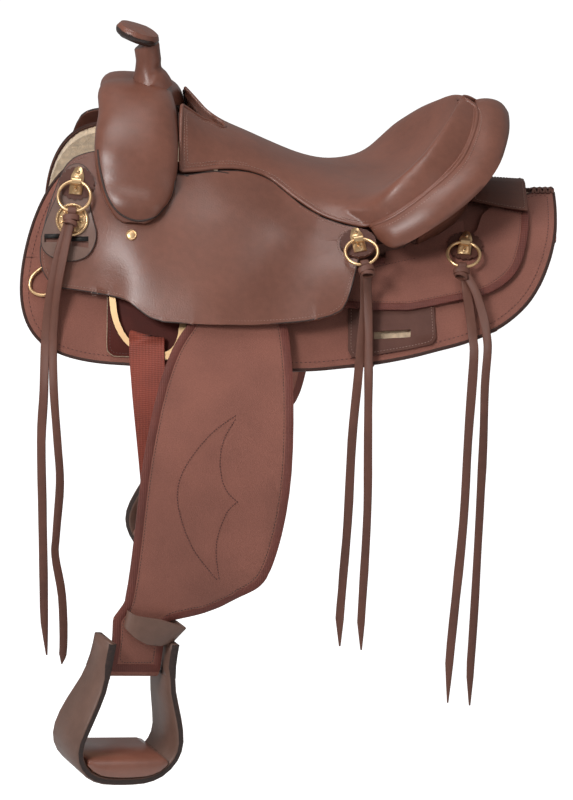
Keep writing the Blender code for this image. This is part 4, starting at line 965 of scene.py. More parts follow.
OUT = {"L": Vector((0, -1, 0)), "R": Vector((0, 1, 0))}


def body_of(node):
    return next(name for name, members in frame["record"]["behaviour"]["bodies"].items()
                if node in members)


# Saddle strings, the same routes as their solids

TAILS = {
    ("front", 0): [(-0.2809, -0.19, 0.0071), (-0.285, -0.1916, -0.0078),
                   (-0.294, -0.2017, -0.0356), (-0.305, -0.2134, -0.0804),
                   (-0.312, -0.216, -0.1283), (-0.315, -0.2252, -0.1668),
                   (-0.3155, -0.25, -0.215), (-0.32, -0.256, -0.285), (-0.321, -0.258, -0.397),
                   (-0.322, -0.258, -0.498), (-0.324, -0.258, -0.592)],
    ("front", 1): [(-0.277, -0.1902, 0.0067), (-0.281, -0.196, -0.0053),
                   (-0.287, -0.2058, -0.0336), (-0.296, -0.217, -0.0787),
                   (-0.302, -0.2203, -0.1267), (-0.304, -0.229, -0.1656),
                   (-0.302, -0.254, -0.215), (-0.298, -0.262, -0.286), (-0.296, -0.264, -0.341),
                   (-0.303, -0.262, -0.415), (-0.305, -0.262, -0.446), (-0.297, -0.264, -0.504),
                   (-0.297, -0.264, -0.579), (-0.303, -0.264, -0.601)],
    ("mid", 0): [(0.1058, -0.2163, -0.0552), (0.106, -0.2078, -0.0879),
                 (0.106, -0.2164, -0.1105), (0.103, -0.2326, -0.1412), (0.1, -0.2459, -0.1711),
                 (0.0975, -0.258, -0.201), (0.091, -0.266, -0.276), (0.086, -0.267, -0.391),
                 (0.079, -0.267, -0.49), (0.073, -0.267, -0.571)],
    ("mid", 1): [(0.1097, -0.2156, -0.0547), (0.11, -0.2114, -0.0843),
                 (0.111, -0.2199, -0.1075), (0.112, -0.2363, -0.1385),
                 (0.112, -0.2499, -0.1688), (0.112, -0.262, -0.201), (0.112, -0.271, -0.276),
                 (0.112, -0.272, -0.374), (0.107, -0.272, -0.49), (0.102, -0.272, -0.575)],
    ("rear", 0): [(0.2322, -0.1831, -0.067), (0.2385, -0.1885, -0.077),
                  (0.241, -0.2015, -0.0937), (0.246, -0.2176, -0.1241),
                  (0.249, -0.2301, -0.1468), (0.25, -0.247, -0.171), (0.244, -0.257, -0.281),
                  (0.24, -0.258, -0.396), (0.229, -0.258, -0.54), (0.22, -0.258, -0.658)],
    ("rear", 1): [(0.2362, -0.1834, -0.0674), (0.2425, -0.1912, -0.0743),
                  (0.253, -0.2041, -0.0917), (0.263, -0.2178, -0.121),
                  (0.267, -0.2303, -0.1429), (0.268, -0.243, -0.16), (0.265, -0.252, -0.205),
                  (0.264, -0.26, -0.283), (0.26, -0.261, -0.424), (0.255, -0.261, -0.57),
                  (0.25, -0.261, -0.661)],
}
THONG_W = 0.0130
THONG_T = 0.0028


def line_length(points):
    return sum((b - a).length for a, b in zip(points, points[1:]))


def thong(name, route, width, thick, body, twist, seed):
    """Flat thong along a route, with a slanted point at its end."""
    number = len(route)
    sections = []
    for i, place in enumerate(route):
        run = (route[min(i + 1, number - 1)] - route[max(i - 1, 0)]).normalized()
        side = Vector((1, 0, 0))
        side = (side - run * side.dot(run)).normalized()
        share = i / (number - 1)
        turn = Matrix.Rotation(twist * math.sin(share * 5.2 + seed), 3, run)
        side = turn @ side
        up = run.cross(side)
        point = min(1.0, (1 - share) / 0.06)
        half = width / 2 * (0.18 + 0.82 * point) * (1 + 0.10 * ripple(place, 18.0, seed))
        shift = side * width * 0.30 * (1 - point)
        curl = up * thick * 0.35 * ripple(place, 30.0, seed + 3)
        middle = place + shift
        sections.append([middle - side * half - up * thick * 0.32 + curl,
                         middle - side * half + up * thick * 0.32 + curl,
                         middle - side * half * 0.82 + up * thick / 2,
                         middle + side * half * 0.82 + up * thick / 2,
                         middle + side * half + up * thick * 0.32 + curl,
                         middle + side * half - up * thick * 0.32 + curl,
                         middle + side * half * 0.82 - up * thick / 2,
                         middle - side * half * 0.82 - up * thick / 2])
    bm = bmesh.new()
    sweep(bm, sections)
    return add_piece(name, bm, "thong", body, "smooth_leather", 60)


def wrap(bm, frame_here, wide, deep, band, thick, tilt, steps=18):
    """Flat turn of a thong round what passes through it."""
    sections = []
    lean = Matrix.Rotation(tilt, 4, "Z") @ Matrix.Rotation(tilt * 0.6, 4, "X")
    for k in range(steps):
        angle = 2 * math.pi * k / steps
        c, n = math.cos(angle), math.sin(angle)
        ring = []
        for grow, shift in ((0, -band / 2), (thick * 0.8, -band / 2.3), (thick, 0),
                            (thick * 0.8, band / 2.3), (0, band / 2)):
            local = Vector(((wide + grow) * c, shift, (deep + grow) * n))
            ring.append(frame_here @ (lean @ local))
        sections.append(ring)
    sweep(bm, sections, closed=True)


# Brass and knots

CLIPS = {
    "front": ((-0.2740, -0.1545, 0.0413), (0.0285, -0.7841, 0.6200), (0.9941, -0.0426, -0.0996)),
    "mid": ((0.0975, -0.1728, -0.0323), (-0.0002, -0.5770, 0.8168), (0.9781, 0.1697, 0.1201)),
    "rear": ((0.2400, -0.1386, -0.0461), (0.0300, -0.5439, 0.8386), (0.9921, -0.0860, -0.0913)),
}
CONCHO = ((-0.2790, -0.1822, -0.0008), (0.0250, -0.8923, 0.4508), (0.9997, 0.0223, -0.0113))
RING_R = 0.0215
CONCHO_R = 0.0215
CONCHO_T = 0.0028
ROSETTE_R = 0.0235
CLIP_T = 0.0022


def frame_of(place, up, side):
    """Frame whose Z is up and whose X is side."""
    up, side = Vector(up).normalized(), Vector(side).normalized()
    return (Matrix.Translation(place)
            @ Matrix((side, up.cross(side), up)).transposed().to_4x4())


def placed(maker, frame_here, target):
    """Runs a maker in a bmesh of its own and adds the result in a frame."""
    small = bmesh.new()
    maker(small)
    bmesh.ops.recalc_face_normals(small, faces=small.faces)
    bmesh.ops.transform(small, matrix=frame_here, verts=small.verts)
    mesh = bpy.data.meshes.new("part")
    small.to_mesh(mesh)
    small.free()
    target.from_mesh(mesh)
    bpy.data.meshes.remove(mesh)


def disc_maker(profile, steps=32):
    def make(bm):
        verts = [bm.verts.new((r, 0, h)) for r, h in profile]
        edges = [bm.edges.new(pair) for pair in zip(verts, verts[1:])]
        bmesh.ops.spin(bm, geom=verts + edges, cent=(0, 0, 0), axis=(0, 0, 1),
                       angle=2 * math.pi, steps=steps, use_merge=True)
        bmesh.ops.remove_doubles(bm, verts=bm.verts, dist=1e-6)
    return make


def scallop_maker(radius, thick, count=18):
    """Rosette of leather with a scalloped edge."""
    def make(bm):
        base = bmesh.ops.create_circle(bm, cap_ends=True, radius=radius, segments=count * 6)
        for vert in base["verts"]:
            turn = math.atan2(vert.co.y, vert.co.x)
            lobe = abs(math.sin(turn * count / 2))
            vert.co *= 0.90 + 0.10 * lobe ** 0.6
        faces = list(bm.faces)
        raised = bmesh.ops.extrude_face_region(bm, geom=faces)["geom"]
        tops = [item for item in raised if isinstance(item, bmesh.types.BMVert)]
        bmesh.ops.translate(bm, verts=tops, vec=(0, 0, thick))
        cap = [item for item in raised if isinstance(item, bmesh.types.BMFace)]
        bmesh.ops.inset_region(bm, faces=cap, thickness=radius * 0.07, depth=-thick * 0.12)
    return make


def screw_maker(radius):
    """Domed screw head; the slot in it is a thin dark box of painted shade, added with the screws.
    """
    profile = [(0, radius * 0.62), (radius * 0.45, radius * 0.56), (radius * 0.80, radius * 0.36),
               (radius, radius * 0.08), (radius, -radius * 0.1)]
    return disc_maker(profile, 18)


def add_conchos():
    """Gold concho with a roped rim and petals, on both sides."""
    bm = bmesh.new()
    here = frame_of(*CONCHO)
    profile = [(0, CONCHO_T * 1.05), (CONCHO_R * 0.16, CONCHO_T * 1.0),
               (CONCHO_R * 0.20, CONCHO_T * 0.55), (CONCHO_R * 0.62, CONCHO_T * 0.42),
               (CONCHO_R * 0.80, CONCHO_T * 0.50), (CONCHO_R * 0.84, CONCHO_T * 0.80),
               (CONCHO_R * 0.92, CONCHO_T * 0.95), (CONCHO_R, CONCHO_T * 0.55),
               (CONCHO_R, 0), (0, 0)]
    placed(disc_maker(profile, 48), here, bm)
    for k in range(36):
        turn = 2 * math.pi * k / 36
        spot = (Matrix.Rotation(turn, 4, "Z") @ Matrix.Translation((CONCHO_R * 0.91, 0,
                                                                      CONCHO_T * 0.80))
                @ Matrix.Rotation(0.6, 4, "X") @ Matrix.Diagonal((0.0015, 0.0010, 0.0010, 1)))
        bmesh.ops.create_uvsphere(bm, u_segments=8, v_segments=5, radius=1, matrix=here @ spot)
    for ring_share, count, size in ((0.62, 12, 0.0030), (0.36, 8, 0.0026)):
        for k in range(count):
            turn = 2 * math.pi * (k + 0.5) / count
            spot = (Matrix.Rotation(turn, 4, "Z")
                    @ Matrix.Translation((CONCHO_R * ring_share, 0, CONCHO_T * 0.46))
                    @ Matrix.Diagonal((size, size * 0.55, 0.0011, 1)))
            bmesh.ops.create_uvsphere(bm, u_segments=10, v_segments=6, radius=1,
                                      matrix=here @ spot)
    concho = add_piece("near_concho", bm, "brass", "saddle", "brass", 40)
    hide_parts("concho_L")
    _, far = both(concho)
    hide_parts("concho_R")


def add_clip_details():
    """Screws on the clips and scalloped rosettes under them."""
    for where, data in CLIPS.items():
        here = frame_of(*data)
        screws = bmesh.new()
        for y in (-0.0105, 0.0150):
            placed(screw_maker(0.0030), here @ Matrix.Translation((0, y, CLIP_T - 0.0004)),
                   screws)
        both(add_piece(f"near_{where}_screws", screws, "brass", "saddle", "brass", 40))
        # Thin near-black boxes on each screw head: painted shade standing for the shade in the
        # screw's slot.
        slots = bmesh.new()
        for y in (-0.0105, 0.0150):
            spot = here @ Matrix.Translation((0, y, CLIP_T + 0.0013)) @ Matrix.Rotation(0.7, 4, "Z")
            bmesh.ops.create_cube(slots, size=1,
                                  matrix=spot @ Matrix.Diagonal((0.0046, 0.0007, 0.0006, 1)))
        both(add_piece(f"near_{where}_screw_slots", slots, "shadow", "saddle", "brass"))
        rosette = bmesh.new()
        drop = {"front": -0.0003, "mid": -0.0004, "rear": -0.0027}[where]
        thick = {"front": 0.0003, "mid": 0.0004, "rear": 0.0024}[where]
        placed(scallop_maker(ROSETTE_R * 1.02, thick), here @ Matrix.Translation((0, 0, drop)),
               rosette)
        piece = add_piece(f"near_{where}_rosette", rosette, "dark", "saddle",
                          "smooth_leather", 40)
        _, far = both(piece)
        if where == "rear":
            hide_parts("rear_rosette_L")
            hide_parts("rear_rosette_R")


def add_stud():
    """Small plain brass stud low on each side jockey."""
    place, normal = seen_on(131.5, 235, "side_jockey_L")
    here = frame_of(place, normal, (1, 0, 0))
    bm = bmesh.new()
    placed(disc_maker([(0, 0.0014), (0.0040, 0.0013), (0.0050, 0.0010), (0.0054, 0.0019),
                       (0.0066, 0.0020), (0.0074, 0.0010), (0.0075, -0.0006)], 28), here, bm)
    both(add_piece("near_stud", bm, "brass", "saddle", "brass", 40))


def ring_foot(where):
    """Frame at the bottom of a near ring."""
    place, up, side = CLIPS[where]
    joint = JOINTS[f"near_{where}_ring_flip"]
    here = frame_of(joint["pos_m"], up, side)
    return here @ Matrix.Translation((0, -2 * RING_R, 0))


def add_strings():
    for where in ("front", "mid", "rear"):
        body = f"near_{where}_string"
        foot = ring_foot(where)
        bm = bmesh.new()
        wrap(bm, foot @ Matrix.Rotation(math.pi / 2, 4, "Z"), 0.0046, 0.0036, 0.0115, 0.0022,
             0.05)
        wrap(bm, foot @ Matrix.Translation((0, -0.0092, 0.0008)), 0.0088, 0.0042, 0.0085, 0.0024,
             0.12)
        wrap(bm, foot @ Matrix.Translation((0.0006, -0.0168, 0.0012)), 0.0074, 0.0038, 0.0060,
             0.0020, -0.18)
        knot = add_piece(f"{body}_knot", bm, "thong", body, "smooth_leather", 50)
        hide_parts(f"{where}_string_L")
        for number in (0, 1):
            route = rounded(TAILS[where, number], 4)
            tail = thong(f"{body}_tail_{number}", route, THONG_W * (0.92, 0.86)[number],
                         THONG_T, body, 0.30, number * 2.1 + len(where))
            line_length(route)


# Stage

def add_stage():
    stage = bpy.context.scene.saddle_stage
    scene = bpy.context.scene
    bm = bmesh.new()
    bmesh.ops.create_grid(bm, x_segments=1, y_segments=1, size=14)
    bmesh.ops.translate(bm, verts=bm.verts, vec=(0, 0, -stage.floor))
    mesh = bpy.data.meshes.new("floor")
    bm.to_mesh(mesh)
    bm.free()
    floor = bpy.data.objects.new("floor", mesh)
    scene.collection.objects.link(floor)
    shader = Shader("Pale floor", (0.86, 0.86, 0.86), 0.9)
    paths = shader.add("ShaderNodeLightPath", output="Is Camera Ray")
    glow = shader.add("ShaderNodeEmission", None, {"Color": (1, 1, 1, 1), "Strength": 0.80})
    shown = shader.tree.nodes["Material Output"]
    blend_node = shader.tree.nodes.new("ShaderNodeAddShader")
    plain = shader.tree.nodes.new("ShaderNodeMixShader")
    shader.tree.links.new(shader.surface.outputs[0], blend_node.inputs[0])
    shader.tree.links.new(glow.socket, blend_node.inputs[1])
    shader.tree.links.new(paths.socket, plain.inputs[0])
    shader.tree.links.new(shader.surface.outputs[0], plain.inputs[1])
    shader.tree.links.new(blend_node.outputs[0], plain.inputs[2])
    shader.tree.links.new(plain.outputs[0], shown.inputs[0])
    mesh.materials.append(shader.material)

    world = bpy.data.worlds.new("Studio")
    scene.world = world
    world.use_nodes = True
    tree = world.node_tree
    sky = tree.nodes["Background"]
    sky.inputs["Color"].default_value = (1, 1, 1, 1)
    path = tree.nodes.new("ShaderNodeLightPath")
    seen = tree.nodes.new("ShaderNodeMath")
    seen.operation = "MAXIMUM"
    tree.links.new(path.outputs["Is Camera Ray"], seen.inputs[0])
    tree.links.new(path.outputs["Is Transmission Ray"], seen.inputs[1])
    level = tree.nodes.new("ShaderNodeMapRange")
    level.inputs["To Min"].default_value = 0.27
    level.inputs["To Max"].default_value = 1.0
    tree.links.new(seen.outputs[0], level.inputs["Value"])
    tree.links.new(level.outputs[0], sky.inputs["Strength"])

    for name, place, aim, size, power in (
            ("key", (-1.9, -2.5, 2.1), (0, 0, -0.10), 1.1, 78),
            ("fill", (2.4, -2.2, 0.9), (0, 0, -0.25), 1.8, 8),
            ("top", (-0.5, -0.3, 2.9), (0, 0, 0), 1.6, 32)):
        lamp = bpy.data.lights.new(name, "AREA")
        lamp.shape = "SQUARE"
        lamp.size = size
        lamp.energy = power
        light = bpy.data.objects.new(name, lamp)
        scene.collection.objects.link(light)
        way = Vector(aim) - Vector(place)
        light.matrix_world = (Matrix.Translation(place)
                              @ way.to_track_quat("-Z", "Y").to_matrix().to_4x4())

    place, right, up, back = photo_camera()
    lens = bpy.data.cameras.new("photo_camera")
    lens.sensor_fit = "VERTICAL"
    lens.sensor_height = 36
    lens.lens = stage.distance / stage.pixel * 36 / 800
    lens.clip_end = 100
    camera = bpy.data.objects.new("photo_camera", lens)
    camera.matrix_world = (Matrix.Translation(place)
                           @ Matrix((right, up, back)).transposed().to_4x4())
    scene.collection.objects.link(camera)
    scene.camera = camera
    scene.view_settings.view_transform = "Standard"


# Leather and cloth pieces

def add_seat():
    marks = near_marks("seat", [(392, 178, 0.045, 0.0012), (300, 180, 0.040, -0.0010),
                                (240, 150, 0.050, 0.0010), (430, 140, 0.040, -0.0008)])
    rise = swelling(marks)

    def form(place, normal):
        lift = max(0.0, normal.z * 0.6 - normal.y * math.copysign(0.4, place.y))
        return lift * (rise(place) + 0.00045 * ripple(place, 26.0, 2.0)
                       + 0.0006 * ripple(place, 9.0, 5.0))
    seat = dress("seat", "seat", "smooth_leather", "saddle", levels=2, form=form)
    edge = rim("seat", Vector((0, 0, 1)))
    both_rows = inset_rim(edge, 0.0052, "seat")
    rows = (parted(both_rows, lambda place: place.x < 0.16)
            + parted(inset_rim(edge, 0.0092, "seat"), lambda place: place.x < -0.05))
    stitches("seat_stitches", rows, "thread", "saddle", "smooth_leather")
    cord_round("seat_welt", even(softened(edge), 0.005, closed=True), 0.0026, "seat", "saddle",
               "smooth_leather", sides=8, lift=-0.25, closed=True)


def add_roll():
    def form(place, normal):
        return (0.0007 * ripple(place, 14.0, 1.0) + 0.0003 * ripple(place, 55.0, 4.0))
    roll = dress("cantle_roll", "seat", "smooth_leather", "saddle", levels=1, form=form)
    seam = [(458, 98), (472, 103), (477, 113), (474, 131), (464, 155), (450, 173), (428, 192),
            (411, 205), (389, 219), (370, 226)]
    line = drawn(seam, ["cantle_roll", "seat"])
    both(cord_round("near_roll_seam", line, 0.0034, "seat", "saddle", "smooth_leather", sides=8,
                    lift=-0.3))
    end = line[0][0]
    span = []
    for k in range(13):
        y = end.y * (1 - k / 6)
        x = end.x + 0.004 * (1 - (y / end.y) ** 2)
        tops = [skin_tree(node).ray_cast(Vector((x, y, 0.4)), Vector((0, 0, -1)))
                for node in ("seat", "cantle_roll")]
        top = max(place.z for place, _, _, _ in tops if place is not None)
        span.append((Vector((x, y, top)), Vector((-0.3, 0, 0.95)).normalized()))
    cord_round("roll_seam_top", span, 0.0030, "seat", "saddle", "smooth_leather", sides=8,
               lift=-0.8)
    beside = drawn([(u + 4.5, v + 3.5) for u, v in seam], ["cantle_roll"])
    both(stitches("near_roll_stitches", [beside], "thread", "saddle", "smooth_leather",
                  radius=0.0006))
    back = dress("cantle_back", "leather", "smooth_leather", "saddle", sharp=50)
    return back


def add_swell():
    def form(place, normal):
        return 0.0005 * ripple(place, 16.0, 3.0) + 0.0002 * ripple(place, 70.0, 1.0)
    def shoulders(place):
        u, v = picture_point(Vector((place.x, -abs(place.y), place.z)))
        left = 1 - min(1.0, max(0.0, (u - 112) / 30))
        out = -10.0 * left * math.exp(-((v - 92) / 15) ** 2)
        lift = 6.0 * math.exp(-((v - 88) / 10) ** 2) * (1 - min(1.0, max(0.0, (u - 115) / 35)))
        down = 1.2 * math.exp(-((u - 142) / 13) ** 2) * min(1.0, max(0.0, (v - 205) / 12))
        return place + Vector((out * 0.0014, 0, (lift - down) * 0.0014))
    dress("swell_cover", "leather", "smooth_leather", "saddle", levels=1, form=form,
          shape=shoulders)
    binding("swell_edge", "swell_cover", "edge", "saddle", "smooth_leather", 0.0022, 0.0006,
            0.0030, Vector((0, 0, 1)))

    def creased(place, normal):
        return 0.0006 * ripple(place, 60.0, 2.0) + 0.0003 * ripple(place, 150.0, 7.0)
    dress("horn_neck", "leather", "smooth_leather", "saddle", levels=2, form=creased,
          shape=leaning)
    cap = dress("horn_cap", "leather", "smooth_leather", "saddle", levels=3, form=creased)
    facing_part("horn_lip", cap, Vector((0.38, 0, 0.92)), -1.01, 0.12, "lip", "saddle",
                "smooth_leather")


def add_piping():
    """Dark piping where the seat, the swell and the side jockey meet."""
    front = [(182, 112), (182, 130), (182, 150), (182, 166), (183, 172)]
    low = [(184, 174.5), (196, 173.5), (208, 171.5), (225, 170), (242, 170)]
    round_swell = [(98, 150), (100, 168), (105, 190), (111, 203), (118, 212), (128, 218.5),
                   (139, 221), (151, 218.5), (160, 213), (168, 203), (175, 190), (177, 175)]
    for number, (points, node, radius, lift) in enumerate((
            (front, "seat", 0.0034, -1.0), (low, "side_jockey_L", 0.0026, -0.8),
            (round_swell, "swell_cover", 0.0015, 0.1))):
        line = drawn(points, [node])
        both(cord_round(f"near_piping_{number}", line, radius, "edge", "saddle",
                        "smooth_leather", sides=8, lift=lift))


NECK_SHIFTS = [(44, 140, 24, 147.5, 21), (48, 140, 24, 147.5, 22), (60, 144.5, 27.6, 149, 24),
               (70, 152, 39, 150.5, 30), (84, 154, 42, 152, 40), (95, 154, 42, 154, 42)]


def leaning(place):
    """The horn's neck as drawn in the picture: further back and slimmer."""
    u, v = picture_point(Vector((place.x, 0, place.z)))
    if v <= NECK_SHIFTS[0][0]:
        row = NECK_SHIFTS[0]
    elif v >= NECK_SHIFTS[-1][0]:
        row = NECK_SHIFTS[-1]
    else:
        k = next(i for i, item in enumerate(NECK_SHIFTS) if item[0] > v)
        low, high = NECK_SHIFTS[k - 1], NECK_SHIFTS[k]
        share = (v - low[0]) / (high[0] - low[0])
        row = [a + (b - a) * share for a, b in zip(low, high)]
    _, middle, width, wanted, wanted_width = row
    now = wanted + (u - middle) * wanted_width / width
    raised = 0.007 * min(1.0, max(0.0, (56 - v) / 10))
    return place + Vector(((now - u) * 0.0014, 0, raised))


def near_view(place):
    """Picture point of a place, or of its mirror image when it is on the far side."""
    return picture_point(Vector((place.x, -abs(place.y), place.z)))


def is_low_rim(place):
    """Whether a place of a rear jockey's rim is on its lower or rear edge."""
    u, v = near_view(place)
    return v > 258 or u > 505


def add_housing(side_name, rear, out):
    """Cloth that carries a rear jockey up under the cantle roll."""
    line = even(softened(rim(rear, out)), 0.006, closed=True)
    ways = inward(line)
    marked = []
    for (place, normal), way in zip(line, ways):
        up = Vector((0, -out.y * 0.84, 0.54))
        top = place + up * 0.034 + normal * 0.001
        marked.append((place, [place + way * 0.004 + normal * 0.0004, place + normal * 0.0005,
                               top, top - normal * 0.0012, place - normal * 0.0012]))
    bm = bmesh.new()
    for stretch in parted(marked, lambda place: not is_low_rim(place)
                          and near_view(place)[0] < 466):
        sweep(bm, [section for _, section in stretch])
    piece = add_piece(f"{side_name}_housing", bm, "cloth", "saddle", "woven_panel", 50)
    cloth_fields(piece.data, False)


def add_jockeys():
    marks = near_marks("side_jockey_L", [
        (95, 200, 0.018, 0.0026), (112, 222, 0.024, -0.0006), (288, 236, 0.016, 0.0036),
        (262, 262, 0.020, 0.0024), (308, 262, 0.024, -0.0038), (240, 235, 0.028, -0.0020),
        (250, 292, 0.022, 0.0026), (210, 302, 0.024, 0.0016), (180, 250, 0.036, -0.0014)])
    rise = swelling(marks)
    for side, side_name in SIDES.items():
        out = OUT[side]

        def form(place, normal):
            lift = max(0.0, normal.dot(out))
            return lift * (rise(place) + 0.0004 * ripple(place, 22.0, 6.0))
        jockey = f"side_jockey_{side}"
        dress(jockey, "leather", "smooth_leather", "saddle", levels=2, form=form)
        edge = rim(jockey, out)
        row = inset_rim(edge, 0.0048, jockey)
        low = parted(row, lambda place: not (place.z > 0.0 and place.x > -0.262))
        stitches(f"{side_name}_jockey_stitches", low, "thread", "saddle", "smooth_leather")
        binding(f"{side_name}_jockey_edge", jockey, "edge", "saddle", "smooth_leather",
                0.0012, 0.0003, 0.0030, out)
        rear = f"rear_jockey_{side}"
        dress(rear, "cloth", "woven_panel", "saddle", bevel=0.0006)
        binding(f"{side_name}_rear_jockey_binding", rear, "binding", "saddle", "woven_panel",
                0.0090, 0.0009, 0.0030, out, only=is_low_rim)
        row = inset_rim(rim(rear, out), 0.0108, rear)
        stitches(f"{side_name}_rear_jockey_stitches", parted(row, is_low_rim), "lace", "saddle",
                 "woven_panel")
        add_housing(side_name, rear, out)
    def slim(place):
        """The strip's lower edge, drawn up as in the picture."""
        v = near_view(place)[1]
        up = Vector((0, math.copysign(0.84, -place.y), 0.54))
        side = min(1.0, abs(place.y) / 0.06)
        return place + up * side * max(0.0, v - 184) * 0.30 * 0.0014 / 0.79
    dress("rear_bridge", "thong", "smooth_leather", "saddle", bevel=0.0006, shape=slim)
    row = inset_rim(rim("rear_bridge", Vector((0, 0, 1))), 0.0042, "rear_bridge")
    row = [(slim(place) + normal * 0.0004, normal) for place, normal in row]
    stitches("bridge_stitches", [row], "thread", "saddle", "smooth_leather", closed=True)


def add_skirts():
    for side, side_name in SIDES.items():
        out = OUT[side]
        skirt = f"skirt_{side}"
        points, calm = calmed(softened(rim(skirt, out)))
        shape = pulled(points, calm)
        dress(skirt, "cloth", "woven_panel", "saddle", levels=1, shape=shape)
        binding(f"{side_name}_skirt_edge", skirt, "rim", "saddle", "dark_leather", 0.0036,
                0.0006, 0.0040, out, line=calm)
        stitches(f"{side_name}_skirt_stitches", [inset_rim(calm, 0.0112, skirt)], "lace",
                 "saddle", "woven_panel", pitch=0.0060, length=0.0036, radius=0.0006,
                 closed=True)
        lining = f"skirt_fleece_{side}"

        def pile(place, normal):
            return (0.0006 * ripple(place, 160.0, 1.0) + 0.0005 * ripple(place, 380.0, 5.0)
                    + 0.0004)
        piece = dress(lining, "fleece", "fleece", "saddle", levels=3, form=pile, shape=shape)


def add_lacing():
    """Thongs that lace the two skirts together behind the seat."""
    bm = bmesh.new()
    for k in range(4):
        x = 0.338 + k * 0.0075
        for way in (1, -1):
            route = []
            for j in range(9):
                y = (j - 4) / 4 * 0.014
                spot = Vector((x + way * y * 0.20, y, 0.2))
                place, _, _, _ = skin_tree("skirt_L" if y < 0 else "skirt_R").ray_cast(
                    spot, Vector((0, 0, -1)))
                if place is None:
                    place = Vector((spot.x, y, route[-1].z if route else 0.0))
                route.append(Vector((place.x, place.y, place.z + 0.0008)))
            height = max(point.z for point in route[2:-2])
            route = [Vector((p.x, p.y, max(p.z, height - abs(p.y) * 0.25))) for p in route]
            sections = []
            for i, place in enumerate(route):
                run = (route[min(i + 1, 8)] - route[max(i - 1, 0)]).normalized()
                side = Vector((1, 0, 0))
                side = (side - run * side.dot(run)).normalized() * 0.0016
                up = Vector((0, 0, 0.0009 + 0.0005 * (way > 0)))
                sections.append([place - side, place - side * 0.6 + up, place + side * 0.6 + up,
                                 place + side])
            sweep(bm, sections)
    add_piece("skirt_lacing", bm, "thong", "saddle", "smooth_leather", 60)


def add_rigging():
    for side, side_name in SIDES.items():
        out = OUT[side]
        plate = f"front_rigging_plate_{side}"
        dress(plate, "rigging", "rigging_leather", "saddle", bevel=0.0005)
        binding(f"{side_name}_rigging_cut_edge", plate, "cut", "saddle", "rigging_leather",
                0.0007, 0.0002, 0.0030, out)
        stitches(f"{side_name}_rigging_stitches", [inset_rim(rim(plate, out), 0.0045, plate)],
                 "lace", "saddle", "rigging_leather", closed=True)
        patch = f"rear_rigging_patch_{side}"
        dress(patch, "dark", "dark_leather", "saddle", bevel=0.0005)
        stitches(f"{side_name}_patch_stitches", [inset_rim(rim(patch, out), 0.0040, patch)],
                 "thread", "saddle", "dark_leather", closed=True)
        strap = f"tie_strap_{side}"
        dress(strap, "webbing", "webbing", "saddle", sharp=50)
        keeper = f"latigo_keeper_{side}"
        dress(keeper, "keeper", "dark_leather", "saddle", bevel=0.0005)
        binding(f"{side_name}_keeper_edge", keeper, "edge", "saddle", "dark_leather", 0.0009,
                0.0002, 0.0030, out)
        for node in ("rigging_dee", "breast_dee", "front_ring", "mid_ring", "rear_ring",
                     "front_clip", "mid_clip", "rear_clip"):
            name = f"{node}_{side}"
            dress(name, "dull_brass" if "rigging" in node else "brass", "brass",
                  body_of(name), sharp=42,
                  levels=0 if "clip" in node or "rigging" in node else 1)


def add_keeper_slot_shade():
    """Near-black boxes of painted shade in the keeper's two slots."""
    bm = bmesh.new()
    for u, v, wide, tall in ((53.0, 236.0, 0.0225, 0.0058), (80.0, 238.0, 0.0225, 0.0062)):
        above, normal = seen_on(u, v - 7, "latigo_keeper_L")
        below, _ = seen_on(u, v + 7, "latigo_keeper_L")
        side = Vector((1, 0, 0.02))
        side = (side - normal * side.dot(normal)).normalized()
        spot = (Matrix.Translation((above + below) / 2 + normal * 0.0001)
                @ Matrix((side, normal.cross(side), normal)).transposed().to_4x4()
                @ Matrix.Diagonal((wide, tall, 0.0005, 1)))
        # Each box is painted shade: a thin near-black sheet where the slot's recess lies in shade.
        bmesh.ops.create_cube(bm, size=1, matrix=spot)
    both(add_piece("near_keeper_slots", bm, "shadow", "saddle", "dark_leather"))


MOTIF_OUTER = [(235, 416), (214, 431), (196, 451), (182, 473), (177, 496), (182, 522),
               (194, 551), (216, 579)]
MOTIF_UPPER = [(235, 420), (224, 439), (220, 459), (222, 480), (228, 493), (237, 502)]
MOTIF_LOWER = [(237, 502), (227, 512), (218, 535), (216, 555), (219, 578)]


HOBBLE_TOP = [(124, 609), (137, 614), (157, 615), (172, 619), (186, 627)]
HOBBLE_LOW = [(121, 626), (134, 637), (145, 643), (160, 645), (178, 640)]
HOBBLE_BOX = (108, 620, 170, 643)


def gathered(place):
    """The hobble strap's pull round the fender, as drawn in the picture."""
    u, v = picture_point(place)
    left, top, right, low = HOBBLE_BOX
    across = min(1.0, max(0.0, (u - left) / (right - left))) * 4
    down = (v - top) / (low - top)
    k = min(3, int(across))
    ends = []
    for line in (HOBBLE_TOP, HOBBLE_LOW):
        first, last = Vector(line[k]), Vector(line[k + 1])
        ends.append(first.lerp(last, across - k))
    spot = ends[0].lerp(ends[1], down)
    _, right_way, up_way, _ = photo_camera()
    pixel = bpy.context.scene.saddle_stage.pixel
    move = (right_way * (spot.x - u) - up_way * (spot.y - v)) * pixel
    normal = Vector((0.1132, -0.8305, 0.5454))
    return place + move - normal * move.dot(normal)


def far_turn():
    """How the far fender's hang differs from the near one's mirror image."""
    joint = JOINTS["far_fender_swing"]
    origin, axis = Vector(joint["pos_m"]), Vector(joint["axis"])
    near = merged("fender_L")
    best = None
    for k in range(-12, 13):
        angle = math.radians(k * 0.5)
        move = (Matrix.Translation(origin) @ Matrix.Rotation(angle, 4, axis)
                @ Matrix.Translation(-origin))
        total = 0.0
        for vert in list(near.verts)[::9]:
            _, _, _, away = skin_tree("fender_R").find_nearest(move @ (MIRROR @ vert.co))
            total += away
        if best is None or total < best[0]:
            best = (total, move)
    near.free()
    return best[1]


